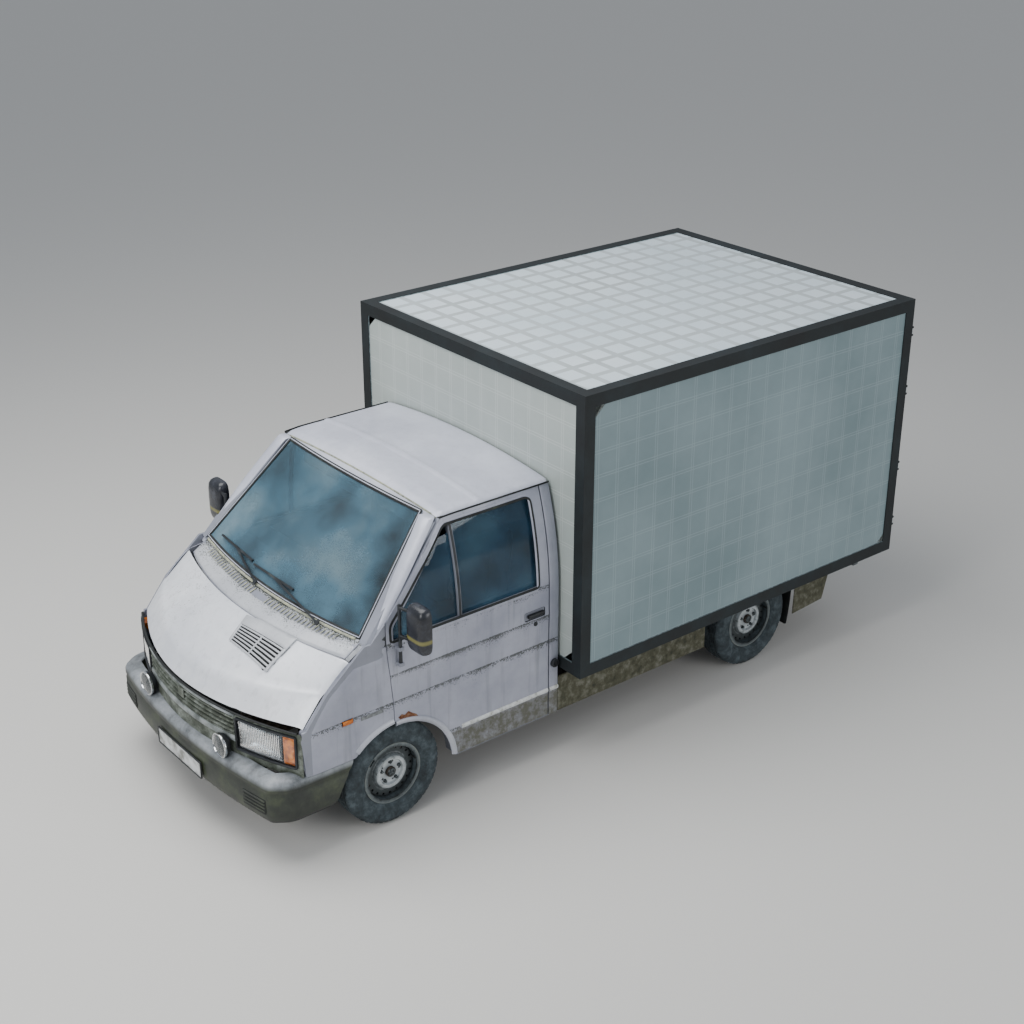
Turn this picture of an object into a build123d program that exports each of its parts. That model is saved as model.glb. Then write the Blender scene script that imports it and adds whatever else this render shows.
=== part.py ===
from build123d import *
import os
from math import atan2, cos, degrees, radians, sin, sqrt

# Light box truck: a short-bonnet cab on a ladder chassis with a square box body behind it.
# Frame: origin on the ground under the middle of the truck, +Z up, the front faces -Y and the
# driver's (left) side is +X.  All sizes are in millimetres.

os.makedirs("parts", exist_ok=True)

# ---- driving dimensions ------------------------------------------------------------------------
front_axle_y = -1640          # wheel centres
wheelbase = 2984
tyre_radius = 333
tyre_width = 195
rim_seat_radius = 178
rim_flange_radius = 197
rim_steel = 5
wheel_centre_x = 838.5        # middle plane of each wheel
kingpin_x = 812
spindle_radius = 32
running_gap = 0.05            # radial, shaft in bore

box_half_width = 1134
box_front = -390
box_length = 2899
box_bottom = 603
box_top = 2450
bar_width = 80                # dark edge angles of the box
bar_wall = 8
panel_thickness = 10
panel_lap = 25                # how far a panel reaches behind its angle
box_floor_bottom = 690
box_floor_thickness = 20

cab_half_width = 935
cab_back_face = -402
belt_height = 1150            # above it the cab sides curve inwards
side_radius = 2055
sill_bottom = 291
cab_floor_bottom = 540
sheet = 4                     # cab sheet-metal members
panel_gap = 6                 # shut lines
arch_centre_y = -1605
arch_centre_z = 275
arch_radius = 410

door_rear = -482
door_bottom = 297
door_top = 1818
door_front_edge = [(-1667, 1340), (-1667, 1175), (-1631, 822), (-1627, door_bottom)]
door_depth = 100
door_waist = 1200             # top of the deep part of the door
frame_depth = 36
door_skin = 3
window_bottom = 1212
window_top = 1778
window_rear = -557
divider_y = -1143
divider_width = 22
glass_thickness = 4
glass_inset = 20              # from the outer face of the door
glass_lap = 10                # how far the glass sits in its channel

nose_y = -2478                # front panel at the centre line
nose_radius = 1960
nose_bottom = 552
nose_top = 842
bumper_nose = -2530
bumper_radius = 4300
bumper_bottom = 262
bumper_top = 545
bumper_wall = 12

rail_x = 480                  # inner face of each chassis rail
rail_width = 60
rail_bottom = 430
rail_top = 540
rail_wall = 5
chassis_front = -2330
box_rear = box_front + box_length
chassis_rear = box_rear - 119

hinge_pin_x = box_half_width - 18     # rear doors
hinge_pin_y = box_rear + 11
hinge_pin_radius = 10
leaf_thickness = 30
leaf_skin = 6
strap_heights = (820, 1240, 1800, 2220)
saddle_height = 12
saddle_gap = 1
lock_rod_radius = 9
lock_rod_x = 180

rear_axle_y = front_axle_y + wheelbase
side_centre_x = cab_half_width - side_radius


# ---- small makers that several pieces share ----------------------------------------------------
def keep(piece, label):
    """Label a finished piece and write it."""
    piece.part.label = label
    export_step(piece.part, f"parts/{label}.step")


def block(low, high, mode=Mode.ADD):
    """Rectangular block between two opposite corners."""
    middle = [(a + b) / 2 for a, b in zip(low, high)]
    size = [b - a for a, b in zip(low, high)]
    with Locations(tuple(middle)):
        Box(*size, mode=mode)


def prism(outline, plane, depth, mode=Mode.ADD):
    """Straight-sided solid from a closed outline drawn on a plane."""
    with BuildSketch(plane) as face:
        with BuildLine():
            Polyline(*outline, close=True)
        make_face()
    extrude(face.sketch, amount=depth, mode=mode)


def rod(start, end, radius, mode=Mode.ADD):
    """Round bar between two points."""
    axis = Vector(*end) - Vector(*start)
    with BuildSketch(Plane(origin=start, z_dir=axis)) as face:
        Circle(radius)
    extrude(face.sketch, amount=axis.length, mode=mode)


def mirrored(piece):
    """The same piece for the other side of the truck."""
    with BuildPart() as other:
        mirror(piece.part, about=Plane.YZ)
    return other


def side_x(z, inset=0):
    """Outer face of the cab side at height z, moved inwards by inset."""
    rise = max(z - belt_height, 0)
    return side_centre_x + sqrt((side_radius - inset) ** 2 - rise ** 2)


def side_band(near, far, low, high, y_from, y_to, mode=Mode.ADD):
    """Strip that follows the cab side, between two depths below its outer face."""
    bend = max(low, belt_height)
    middle = (bend + high) / 2
    with BuildSketch(Plane.XZ.offset(-y_from)) as section:
        with BuildLine():
            ThreePointArc(*[(side_x(z, near), z) for z in (bend, middle, high)])
            Line((side_x(high, near), high), (side_x(high, far), high))
            ThreePointArc(*[(side_x(z, far), z) for z in (high, middle, bend)])
            if low < belt_height:
                foot = [(side_x(low, far), low), (side_x(low, near), low)]
                Polyline((side_x(bend, far), bend), *foot, (side_x(bend, near), bend))
            else:
                Line((side_x(bend, far), bend), (side_x(bend, near), bend))
        make_face()
    extrude(section.sketch, amount=y_from - y_to, mode=mode)


def side_plate(outline, x_from, x_to, arch=0, mode=Mode.ADD):
    """Plate drawn in side view, with a round wheel arch cut from it when arch is a radius."""
    with BuildSketch(Plane.YZ.offset(x_from)) as face:
        with BuildLine():
            Polyline(*outline, close=True)
        make_face()
        if arch:
            with Locations((arch_centre_y, arch_centre_z)):
                Circle(arch, mode=Mode.SUBTRACT)
    extrude(face.sketch, amount=x_to - x_from, mode=mode)


def bow_y(x, nose, radius):
    """Plan position of a bowed front face that touches y = nose on the centre line."""
    return nose + radius - sqrt(radius ** 2 - x ** 2)


def bowed_band(x_from, x_to, low, high, nose, radius, depth, mode=Mode.ADD):
    """Upright band that follows a bowed front face between two x positions."""
    middle = (x_from + x_to) / 2
    with BuildSketch(Plane.XY.offset(low)) as face:
        with BuildLine():
            ThreePointArc(*[(x, bow_y(x, nose, radius)) for x in (x_from, middle, x_to)])
            ThreePointArc(*[(x, bow_y(x, nose, radius) + depth) for x in (x_from, middle, x_to)])
            for x in (x_from, x_to):
                Line((x, bow_y(x, nose, radius)), (x, bow_y(x, nose, radius) + depth))
        make_face()
    extrude(face.sketch, amount=high - low, mode=mode)


def shell_through(stations, profile):
    """Ruled skin through the same side-view profile worked out at several x stations."""
    with BuildPart() as skin:
        for x in stations:
            with BuildSketch(Plane.YZ.offset(x)):
                with BuildLine():
                    Polyline(*profile(x), close=True)
                make_face()
        loft(ruled=True)
    return skin


# ---- ladder chassis ----------------------------------------------------------------------------
cross_stations = (-1150, -380, 420, 900, 1850, chassis_rear - 60)
bearer_stations = (-300, 420, 900, 1850, chassis_rear - 20)
bearer_half_width = box_half_width - 94
bearer_width = 50
bearer_wall = 4

with BuildPart() as chassis_frame:
    for side in (-1, 1):
        inner = min(side * rail_x, side * (rail_x + rail_width))
        block((inner, chassis_front, rail_bottom), (inner + rail_width, chassis_rear, rail_top))
        block((inner + rail_wall, chassis_front, rail_bottom + rail_wall),
              (inner + rail_width - rail_wall, chassis_rear, rail_top - rail_wall), Mode.SUBTRACT)
    for y in cross_stations:
        block((-rail_x, y, rail_bottom + 15), (rail_x, y + 50, rail_top - 15))
        block((-rail_x, y + rail_wall, rail_bottom + 15 + rail_wall),
              (rail_x, y + 50 - rail_wall, rail_top - 15 - rail_wall), Mode.SUBTRACT)
    for y in bearer_stations:
        block((-bearer_half_width, y, rail_top), (bearer_half_width, y + bearer_wall, box_floor_bottom))
        block((-bearer_half_width, y, box_floor_bottom - bearer_wall),
              (bearer_half_width, y + bearer_width, box_floor_bottom))
        block((-rail_x - rail_width, y, rail_top),
              (rail_x + rail_width, y + bearer_width, rail_top + bearer_wall))
keep(chassis_frame, "chassis_frame")

# ---- front suspension, steering knuckles and wheels --------------------------------------------
arm_z = 190
arm_gap = 2
arm_thickness = 18
knuckle_top_z = 430
knuckle_bottom_z = 232
knuckle_block = 34
drum_radius = 120

with BuildPart() as front_suspension:
    block((-rail_x - 50, front_axle_y - 60, arm_z + 40), (rail_x + 50, front_axle_y + 60, arm_z + 60))
    for side in (-1, 1):
        post = side * (rail_x + 25)
        block((post - 20, front_axle_y - 50, arm_z + 60), (post + 20, front_axle_y + 50, rail_bottom))
        lower_z = knuckle_bottom_z - arm_gap - arm_thickness
        for root, z in ((rail_x, lower_z), (rail_x + rail_width, knuckle_top_z + arm_gap)):
            arm = [(side * root, front_axle_y - 60), (side * (kingpin_x + 15), front_axle_y - 25),
                   (side * (kingpin_x + 15), front_axle_y + 25), (side * root, front_axle_y + 60)]
            prism(arm, Plane.XY.offset(z), arm_thickness)
        block((post - 20, front_axle_y - 50, lower_z), (post + 20, front_axle_y + 50, arm_z + 60))
keep(front_suspension, "front_suspension")

with BuildPart() as knuckle_left:
    block((kingpin_x - 95, front_axle_y - knuckle_block, knuckle_bottom_z),
          (kingpin_x - 30, front_axle_y + knuckle_block, knuckle_top_z))
    block((kingpin_x - 95, front_axle_y - 22, knuckle_top_z - 30),
          (kingpin_x + 20, front_axle_y + 22, knuckle_top_z))
    block((kingpin_x - 95, front_axle_y - 22, knuckle_bottom_z),
          (kingpin_x + 20, front_axle_y + 22, knuckle_bottom_z + 14))
    block((kingpin_x - 92, front_axle_y + 30, 300), (kingpin_x - 76, front_axle_y + 150, 330))
    rod((kingpin_x - 40, front_axle_y, tyre_radius), (wheel_centre_x + 62, front_axle_y, tyre_radius),
        spindle_radius - running_gap)
knuckle_right = mirrored(knuckle_left)
keep(knuckle_left, "knuckle_left")
keep(knuckle_right, "knuckle_right")

half_tread = tyre_width / 2
tyre_outside = [(72, rim_seat_radius), (72, rim_flange_radius + 1), (half_tread, 252),
                (half_tread - 4, 300), (half_tread - 18, tyre_radius - 9),
                (half_tread - 42, tyre_radius)]
tyre_inside = [(58, rim_seat_radius), (60, 200), (half_tread - 13, 252), (half_tread - 19, 292),
               (half_tread - 34, tyre_radius - 20)]
bead_half = 72
disc_face = 40
dome_rise = 22               # raised ring of the disc, outside the bolts
vent_count = 20
vent_radius = 8
vent_circle = 152
bolt_circle = 65
bolt_radius = 7


def both_ways(points):
    """A half profile and its mirror image, running round to the start."""
    return points + [(-x, r) for x, r in reversed(points)]


def make_tyre():
    """Hollow tyre, turned about its own X axis."""
    with BuildPart() as tyre:
        with BuildSketch(Plane.XY):
            with BuildLine():
                Polyline(*both_ways(tyre_outside), *reversed(both_ways(tyre_inside)), close=True)
            make_face()
        revolve(axis=Axis.X)
    return tyre.part


def make_rim():
    """Pressed steel wheel: barrel with two flanges and a dished disc with vents and bolt holes."""
    seat = rim_seat_radius
    barrel = [(bead_half, seat), (bead_half, rim_flange_radius), (bead_half + rim_steel, rim_flange_radius),
              (bead_half + rim_steel, seat - rim_steel), (-bead_half - rim_steel, seat - rim_steel),
              (-bead_half - rim_steel, rim_flange_radius), (-bead_half, rim_flange_radius),
              (-bead_half, seat)]
    dish = [(disc_face - 20, seat - rim_steel), (disc_face, seat - 14), (disc_face, 118),
            (disc_face + dome_rise, 104), (disc_face + dome_rise, 84), (disc_face + 6, 78),
            (disc_face + 6, spindle_radius)]
    disc = dish + [(x - rim_steel, r) for x, r in reversed(dish)]
    with BuildPart() as rim:
        for outline in (barrel, disc):
            with BuildSketch(Plane.XY) as profile:
                with BuildLine():
                    Polyline(*outline, close=True)
                make_face()
            revolve(profile.sketch, axis=Axis.X)
        with BuildSketch(Plane.YZ.offset(disc_face - 30)) as holes:
            with PolarLocations(vent_circle, vent_count):
                Circle(vent_radius)
            with PolarLocations(bolt_circle, 5):
                Circle(bolt_radius)
        extrude(holes.sketch, amount=60, mode=Mode.SUBTRACT)
    return rim.part


tyre_form = make_tyre()
rim_form = make_rim()
for end, y in (("front", front_axle_y), ("rear", rear_axle_y)):
    for hand, side in (("left", 1), ("right", -1)):
        spot = Location((side * wheel_centre_x, y, tyre_radius), (0, 0, 0 if side > 0 else 180))
        for label, form in ((f"tyre_{end}_{hand}", tyre_form), (f"rim_{end}_{hand}", rim_form)):
            with BuildPart() as wheel_piece:
                add(form.moved(spot))
            keep(wheel_piece, label)

# ---- rear axle and leaf springs ----------------------------------------------------------------
beam_radius = 35
spring_half_length = 600
spring_width = 50
spring_sag = 36
leaf_stack = 24

with BuildPart() as rear_axle:
    rod((-700, rear_axle_y, tyre_radius), (700, rear_axle_y, tyre_radius), beam_radius)
    for side in (-1, 1):
        rod((side * 695, rear_axle_y, tyre_radius), (side * 720, rear_axle_y, tyre_radius), drum_radius)
        rod((side * 700, rear_axle_y, tyre_radius), (side * (wheel_centre_x + 62), rear_axle_y, tyre_radius),
            spindle_radius - running_gap)
keep(rear_axle, "rear_axle")

with BuildPart() as leaf_springs:
    spring_low = tyre_radius + beam_radius
    ends = rear_axle_y - spring_half_length, rear_axle_y + spring_half_length
    for side in (-1, 1):
        start = side * (rail_x + rail_width / 2) - spring_width / 2
        with BuildSketch(Plane.YZ.offset(start)) as leaf:
            with BuildLine():
                ThreePointArc((ends[0], spring_low + spring_sag), (rear_axle_y, spring_low),
                              (ends[1], spring_low + spring_sag))
                ThreePointArc((ends[0], spring_low + spring_sag + 8), (rear_axle_y, spring_low + leaf_stack),
                              (ends[1], spring_low + spring_sag + 8))
                for y in ends:
                    Line((y, spring_low + spring_sag), (y, spring_low + spring_sag + 8))
            make_face()
        extrude(leaf.sketch, amount=spring_width)
        for y in ends:
            block((start, y - 18, spring_low + spring_sag), (start + spring_width, y + 18, rail_bottom))
keep(leaf_springs, "leaf_springs")

# ---- engine with gearbox, fuel tank ------------------------------------------------------------
with BuildPart() as engine:
    block((-180, -2180, 420), (260, -1720, 860))
    block((-172, -2172, 428), (252, -1728, 852), Mode.SUBTRACT)
    block((-150, -2150, 860), (230, -1760, 900))
    block((-400, -2080, 440), (-180, -1800, 640))
    block((-392, -2072, 448), (-188, -1808, 632), Mode.SUBTRACT)
keep(engine, "engine")

with BuildPart() as fuel_tank:
    block((570, -300, 300), (880, 600, 520))
    fillet(fuel_tank.edges().filter_by(Axis.Y), radius=40)
    offset(amount=-sheet, mode=Mode.SUBTRACT)
keep(fuel_tank, "fuel_tank")

# ---- cab floor with wheel houses ---------------------------------------------------------------
well_inner = 548
well_top = 704
well_rear = -1190
well_front = -2040
floor_half_width = 826
floor_front = -1560

with BuildPart() as cab_floor:
    block((-floor_half_width, well_rear, cab_floor_bottom),
          (floor_half_width, cab_back_face - 14, cab_floor_bottom + sheet))
    block((-well_inner, floor_front, cab_floor_bottom), (well_inner, well_rear, cab_floor_bottom + sheet))
    for side in (-1, 1):
        wall = sorted((side * well_inner, side * (well_inner - sheet)))
        block((wall[0], well_front, cab_floor_bottom), (wall[1], well_rear, well_top))
        top = sorted((side * (well_inner - sheet), side * floor_half_width))
        block((top[0], well_front, well_top), (top[1], well_rear, well_top + sheet))
        top = sorted((side * floor_half_width, side * (cab_half_width - 18)))
        block((top[0], well_front, well_top), (top[1], door_front_edge[2][0] - 12, well_top + sheet))
        rear = sorted((side * (well_inner - sheet), side * floor_half_width))
        block((rear[0], well_rear - sheet, cab_floor_bottom), (rear[1], well_rear, well_top))
keep(cab_floor, "cab_floor")

# ---- cab back wall -----------------------------------------------------------------------------
back_half = cab_half_width - 62
with BuildPart() as cab_back:
    top_half = side_x(1796, 62) - 4
    outline = [(-back_half, cab_floor_bottom), (back_half, cab_floor_bottom), (back_half, belt_height),
               (top_half, 1796), (-top_half, 1796), (-back_half, belt_height)]
    prism(outline, Plane.XZ.offset(-cab_back_face), sheet)
keep(cab_back, "cab_back")

# ---- cab roof ----------------------------------------------------------------------------------
roof_thickness = 5
roof_sections = ((-1208, 816, 1830, 1852), (-1090, 822, 1836, 1874), (cab_back_face, 824, 1838, 1884))

with BuildPart() as cab_roof:
    for y, half, edge, crown in roof_sections:
        with BuildSketch(Plane.XZ.offset(-y)):
            with BuildLine():
                ThreePointArc((-half, edge), (0, crown), (half, edge))
                ThreePointArc((-half, edge - roof_thickness), (0, crown - roof_thickness),
                              (half, edge - roof_thickness))
                Line((-half, edge), (-half, edge - roof_thickness))
                Line((half, edge), (half, edge - roof_thickness))
            make_face()
    loft(ruled=True)
keep(cab_roof, "cab_roof")

# ---- cab side with front wing, screen pillar, rear post and sill -------------------------------
bonnet_seam = [(-1910, 1175), (-2069, 1042), (-2216, 859)]
pillar_foot = [(866, -1805), (915, -1795), (929, -1774), (866, -1755)]
pillar_head = [(722, -1275), (814, -1262), (822, -1227), (722, -1212)]

with BuildPart() as cab_side_left:
    wing = [(door_front_edge[3][0] - panel_gap, 560)]
    wing += [(y - panel_gap, z) for y, z in reversed(door_front_edge[:3])]
    wing += [(-1770, 1244), (-1815, 1244)]
    wing += [(y, z - panel_gap - 4) for y, z in bonnet_seam]
    wing += [(-2240, 846), (-2250, 793), (-2231, 560)]
    side_plate(wing, cab_half_width - 16, cab_half_width, arch_radius)
    with BuildSketch(Plane.XY.offset(1240)) as foot:
        with BuildLine():
            Polyline(*pillar_foot, close=True)
        make_face()
    with BuildSketch(Plane.XY.offset(1800)) as head:
        with BuildLine():
            Polyline(*pillar_head, close=True)
        make_face()
    loft([foot.sketch, head.sketch], ruled=True)
    side_band(0, 60, sill_bottom, door_top, door_rear + 9, cab_back_face)
    side_band(5, 55, sill_bottom + 20, door_top - 30, door_rear + 15, cab_back_face - 5, Mode.SUBTRACT)
    block((floor_half_width, well_rear + 2, door_bottom),
          (floor_half_width + sheet, cab_back_face, cab_floor_bottom - 2))
    block((floor_half_width, well_rear + 2, sill_bottom - 8),
          (cab_half_width - 6, cab_back_face, sill_bottom - 4))
    block((floor_half_width, well_rear + 2, sill_bottom - 8),
          (floor_half_width + sheet, cab_back_face, door_bottom + 5))
    block((floor_half_width, door_rear + 9, sill_bottom - 8),
          (cab_half_width - 6, cab_back_face, sill_bottom + 2))
cab_side_right = mirrored(cab_side_left)
keep(cab_side_left, "cab_side_left")
keep(cab_side_right, "cab_side_right")

# ---- cowl with firewall ------------------------------------------------------------------------
cowl_half = 862
screen_foot_z = 1250
screen_head_z = 1832
screen_foot = (861, -1880, -1787)      # half width, centre y, side y
screen_head = (704, -1257, -1232)


def parabola(x, half, centre, side):
    """Value that runs from centre at x = 0 to side at x = half."""
    return centre + (side - centre) * (x / half) ** 2


def cowl_profile(x):
    """Side view of the cowl panel at station x, from the bonnet seam up to the screen foot."""
    front = parabola(x, cowl_half, -2050, -1898)
    rear = parabola(x, cowl_half, -1870, -1780)
    front_z = parabola(x, cowl_half, 1166, 1170)
    return [(front, front_z - 5), (front, front_z), (rear, 1244), (rear, 1239)]


cowl_stations = [cowl_half * step / 4 for step in range(-4, 5)]
cowl_panel = shell_through(cowl_stations, cowl_profile)
with BuildPart() as cowl:
    add(cowl_panel.part)
    inner = well_inner - sheet - 1
    foot_z = cab_floor_bottom + sheet
    shelf_z = well_top + sheet
    upright = [(-inner, foot_z), (inner, foot_z), (inner, shelf_z), (floor_half_width, shelf_z),
               (floor_half_width, 1240), (-floor_half_width, 1240), (-floor_half_width, shelf_z),
               (-inner, shelf_z)]
    prism(upright, Plane.XZ.offset(-floor_front), 4)
    block((-cowl_half, -1780, 1239), (cowl_half, floor_front, 1243))
    shelf = [(x, parabola(x, cowl_half, -1870, -1780)) for x in cowl_stations]
    prism(shelf, Plane.XY.offset(1239), 4)
keep(cowl, "cowl")

# ---- windscreen --------------------------------------------------------------------------------
screen_thickness = 7


def screen_section(z, half, centre, side):
    """Bowed slice of the windscreen at one height."""
    with BuildSketch(Plane.XY.offset(z)) as slice_face:
        with BuildLine():
            ThreePointArc((-half, side), (0, centre), (half, side))
            ThreePointArc((-half, side + screen_thickness), (0, centre + screen_thickness),
                          (half, side + screen_thickness))
            Line((-half, side), (-half, side + screen_thickness))
            Line((half, side), (half, side + screen_thickness))
        make_face()
    return slice_face.sketch


with BuildPart() as windscreen:
    loft([screen_section(screen_foot_z, *screen_foot), screen_section(screen_head_z, *screen_head)],
         ruled=True)
keep(windscreen, "windscreen")

# ---- bonnet and its air intake -----------------------------------------------------------------
bonnet_half = 908
bonnet_thickness = 6


def bonnet_top(x):
    """Top line of the bonnet in side view at station x: rear edge, break crease and front lip."""
    rear = parabola(x, bonnet_half, -2058, -1904)
    rear_z = parabola(x, bonnet_half, 1180, 1172)
    crease = parabola(x, bonnet_half, -2402, -2096)
    crease_z = parabola(x, bonnet_half, 966, 1014)
    lip = parabola(x, bonnet_half, -2478, -2222)
    return [(rear, rear_z), (crease, crease_z), (lip, parabola(x, bonnet_half, 856, 862))]


def bonnet_profile(x):
    """Closed side-view profile of the bonnet at station x."""
    top = bonnet_top(x)
    return top + [(y + 4, z - bonnet_thickness) if z < 900 else (y + 2, z - bonnet_thickness)
                  for y, z in reversed(top)]


bonnet_stations = [bonnet_half * step / 4 for step in range(-4, 5)]
bonnet = shell_through(bonnet_stations, bonnet_profile)
keep(bonnet, "bonnet")

intake_middle = (300, -2125)
intake_size = (390, 200)
intake_height = 14

with BuildPart() as bonnet_intake:
    slope_rear, slope_front = bonnet_top(intake_middle[0])[:2]
    run = slope_rear[0] - slope_front[0]
    fall = slope_rear[1] - slope_front[1]
    tilt = degrees(atan2(fall, run))
    share = (slope_rear[0] - intake_middle[1]) / run
    seat_z = slope_rear[1] - fall * share + 14
    seat = Plane(origin=(intake_middle[0], intake_middle[1], seat_z), x_dir=(1, 0, 0),
                 z_dir=(0, -sin(radians(tilt)), cos(radians(tilt))))
    with BuildSketch(seat) as pad:
        Rectangle(*intake_size)
        with GridLocations(0, 25, 1, 6):
            Rectangle(intake_size[0] - 50, 12, mode=Mode.SUBTRACT)
    extrude(pad.sketch, amount=intake_height)
keep(bonnet_intake, "bonnet_intake")

# ---- front panel with grille, lamps ------------------------------------------------------------
lamp_inner = 512
lamp_outer = 818
indicator_outer = 892
panel_end = 906
lamp_bottom = 622
lamp_top = 812
nose_depth = 26
lamp_gap = 2
grille_slats = 5

with BuildPart() as grille:
    bowed_band(-panel_end, panel_end, nose_bottom, nose_top, nose_y, nose_radius, nose_depth)
    for low, high in ((-indicator_outer, -lamp_inner), (lamp_inner, indicator_outer)):
        bowed_band(low, high, lamp_bottom, lamp_top, nose_y - 10, nose_radius, 60, Mode.SUBTRACT)
    slat_pitch = (lamp_top - 710) / grille_slats
    for row in range(grille_slats):
        z = 716 + row * slat_pitch
        bowed_band(-470, 470, z, z + slat_pitch * 0.55, nose_y - 10, nose_radius, 60, Mode.SUBTRACT)
keep(grille, "grille")

drive_lamp_x = 440
drive_lamp_z = 630
drive_lamp_radius = 74
drive_lamp_depth = 54
drive_lamp_wall = 8

with BuildPart() as front_lamps:
    for side in (-1, 1):
        ends = sorted((side * (lamp_inner + lamp_gap), side * lamp_outer))
        bowed_band(*ends, lamp_bottom + lamp_gap, lamp_top - lamp_gap, nose_y, nose_radius, 50)
        ends = sorted((side * (lamp_inner + 12), side * (lamp_outer - 10)))
        bowed_band(*ends, lamp_bottom + 12, lamp_top - 12, nose_y + 10, nose_radius, 30, Mode.SUBTRACT)
        lamp_back = bow_y(drive_lamp_x - drive_lamp_radius, nose_y, nose_radius) - 3
        lamp_face = lamp_back - drive_lamp_depth
        lamp_x = side * drive_lamp_x
        rod((lamp_x, lamp_face, drive_lamp_z), (lamp_x, lamp_back, drive_lamp_z), drive_lamp_radius)
        rod((lamp_x, lamp_face + drive_lamp_wall, drive_lamp_z),
            (lamp_x, lamp_back - drive_lamp_wall, drive_lamp_z),
            drive_lamp_radius - drive_lamp_wall, Mode.SUBTRACT)
keep(front_lamps, "front_lamps")

marker_spot = (-1949, 812)
tail_lamp_x = 640
tail_lamp_length = 240
rear_bar_face = chassis_rear + 56

with BuildPart() as signal_lamps:
    for side in (-1, 1):
        ends = sorted((side * (lamp_outer + lamp_gap), side * (indicator_outer - lamp_gap)))
        bowed_band(*ends, lamp_bottom + lamp_gap, lamp_top - lamp_gap, nose_y, nose_radius, 40)
        face = side * cab_half_width
        marker = sorted((face, face + side * 9))
        block((marker[0], marker_spot[0] - 34, marker_spot[1] - 14),
              (marker[1], marker_spot[0] + 34, marker_spot[1] + 14))
        lamp = sorted((side * tail_lamp_x, side * (tail_lamp_x + tail_lamp_length)))
        block((lamp[0], rear_bar_face, 428), (lamp[1], rear_bar_face + 30, 512))
keep(signal_lamps, "signal_lamps")

# ---- front bumper and number plate -------------------------------------------------------------
corner_x = 860
corner_y = bow_y(corner_x, bumper_nose, bumper_radius)
bumper_side_y = -2330
bumper_tail = -1905
bumper_side_tail = -2070


def bumper_plan(low, high, inset, mode=Mode.ADD):
    """Bumper seen from above: bowed front, slanted corners and straight ends along the wings."""
    half = cab_half_width + 6 - inset
    with BuildSketch(Plane.XY.offset(low)) as plan:
        with BuildLine():
            ThreePointArc((-corner_x, corner_y + inset), (0, bumper_nose + inset),
                          (corner_x, corner_y + inset))
            for side in (-1, 1):
                Polyline((side * corner_x, corner_y + inset), (side * half, bumper_side_y + inset),
                         (side * half, bumper_tail))
            Line((-half, bumper_tail), (half, bumper_tail))
        make_face()
    extrude(plan.sketch, amount=high - low, mode=mode)


with BuildPart() as front_bumper:
    bumper_plan(bumper_bottom, bumper_top, 0)
    bumper_plan(bumper_bottom, bumper_top - bumper_wall, bumper_wall, Mode.SUBTRACT)
    bumper_plan(bumper_bottom, bumper_top, 150, Mode.SUBTRACT)
    block((-800, -2350, bumper_top - 40), (800, -1900, bumper_top), Mode.SUBTRACT)
    tail_cut = [(bumper_tail + 1, bumper_top + 1), (bumper_tail - 14, bumper_top + 1),
                (bumper_side_tail, bumper_bottom - 1), (bumper_tail + 1, bumper_bottom - 1)]
    prism(tail_cut, Plane.YZ.offset(-1000), 2000, Mode.SUBTRACT)
    for side in (-1, 1):
        for row in range(4):
            slot = sorted((side * 650, side * 850))
            z = 350 + row * 24
            block((slot[0], -2540, z), (slot[1], -2380, z + 12), Mode.SUBTRACT)
        bracket = sorted((side * rail_x, side * (rail_x + rail_width)))
        block((bracket[0], bow_y(rail_x, bumper_nose, bumper_radius) + bumper_wall - 2, 440),
              (bracket[1], chassis_front, 530))
    block((-275, bumper_nose - 20, 318), (275, bumper_nose + 14, 436), Mode.SUBTRACT)
    block((-275, bumper_nose + 10, 318), (275, bumper_nose + 22, 436))
keep(front_bumper, "front_bumper")

plate_size = (520, 8, 110)
plate_bottom = 322
with BuildPart() as number_plate:
    plate_front = bumper_nose + 2
    block((-plate_size[0] / 2, plate_front, plate_bottom),
          (plate_size[0] / 2, plate_front + plate_size[1], plate_bottom + plate_size[2]))
keep(number_plate, "number_plate")

# ---- wipers ------------------------------------------------------------------------------------
arm_thickness = 8
blade_length = 430
wiper_lift = 14


def screen_y(x, z):
    """Outer face of the windscreen."""
    share = (z - screen_foot_z) / (screen_head_z - screen_foot_z)
    low = parabola(x, *screen_foot)
    high = parabola(x, *screen_head)
    return low + (high - low) * share


def screen_normal(x, z):
    """Outward normal of the windscreen at x, z."""
    step = 1
    along_x = (screen_y(x + step, z) - screen_y(x - step, z)) / (2 * step)
    along_z = (screen_y(x, z + step) - screen_y(x, z - step)) / (2 * step)
    return Vector(along_x, -1, along_z).normalized()


def make_wiper(pivot, blade_middle, normal_x):
    """Arm and blade lying flat on a plane that clears the bowed glass through the sweep."""
    normal = screen_normal(normal_x, 1310)
    touch = Vector(normal_x, screen_y(normal_x, 1310), 1310) + normal * wiper_lift

    def on_plane(x, z):
        """Point of the wiper's plane with the given x and z."""
        y = touch.Y - (normal.X * (x - touch.X) + normal.Z * (z - touch.Z)) / normal.Y
        return Vector(x, y, z)

    start = on_plane(*pivot)
    middle = on_plane(*blade_middle)
    arm_plane = Plane(origin=start, x_dir=middle - start, z_dir=normal)
    reach = (middle - start).length
    blade_dir = on_plane(blade_middle[0] + 1, blade_middle[1]) - middle
    blade_plane = Plane(origin=middle - normal * 8, x_dir=blade_dir, z_dir=normal)
    with BuildPart() as wiper:
        with BuildSketch(arm_plane) as arm:
            with Locations((reach / 2, 0)):
                Rectangle(reach, 12)
            Circle(16)
        extrude(arm.sketch, amount=arm_thickness)
        with BuildSketch(blade_plane) as blade:
            Rectangle(blade_length, 14)
        extrude(blade.sketch, amount=10)
    return wiper


wiper_left = make_wiper((560, 1262), (0, 1318), 60)
wiper_right = make_wiper((-100, 1262), (-470, 1322), -380)
keep(wiper_left, "wiper_left")
keep(wiper_right, "wiper_right")

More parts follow.
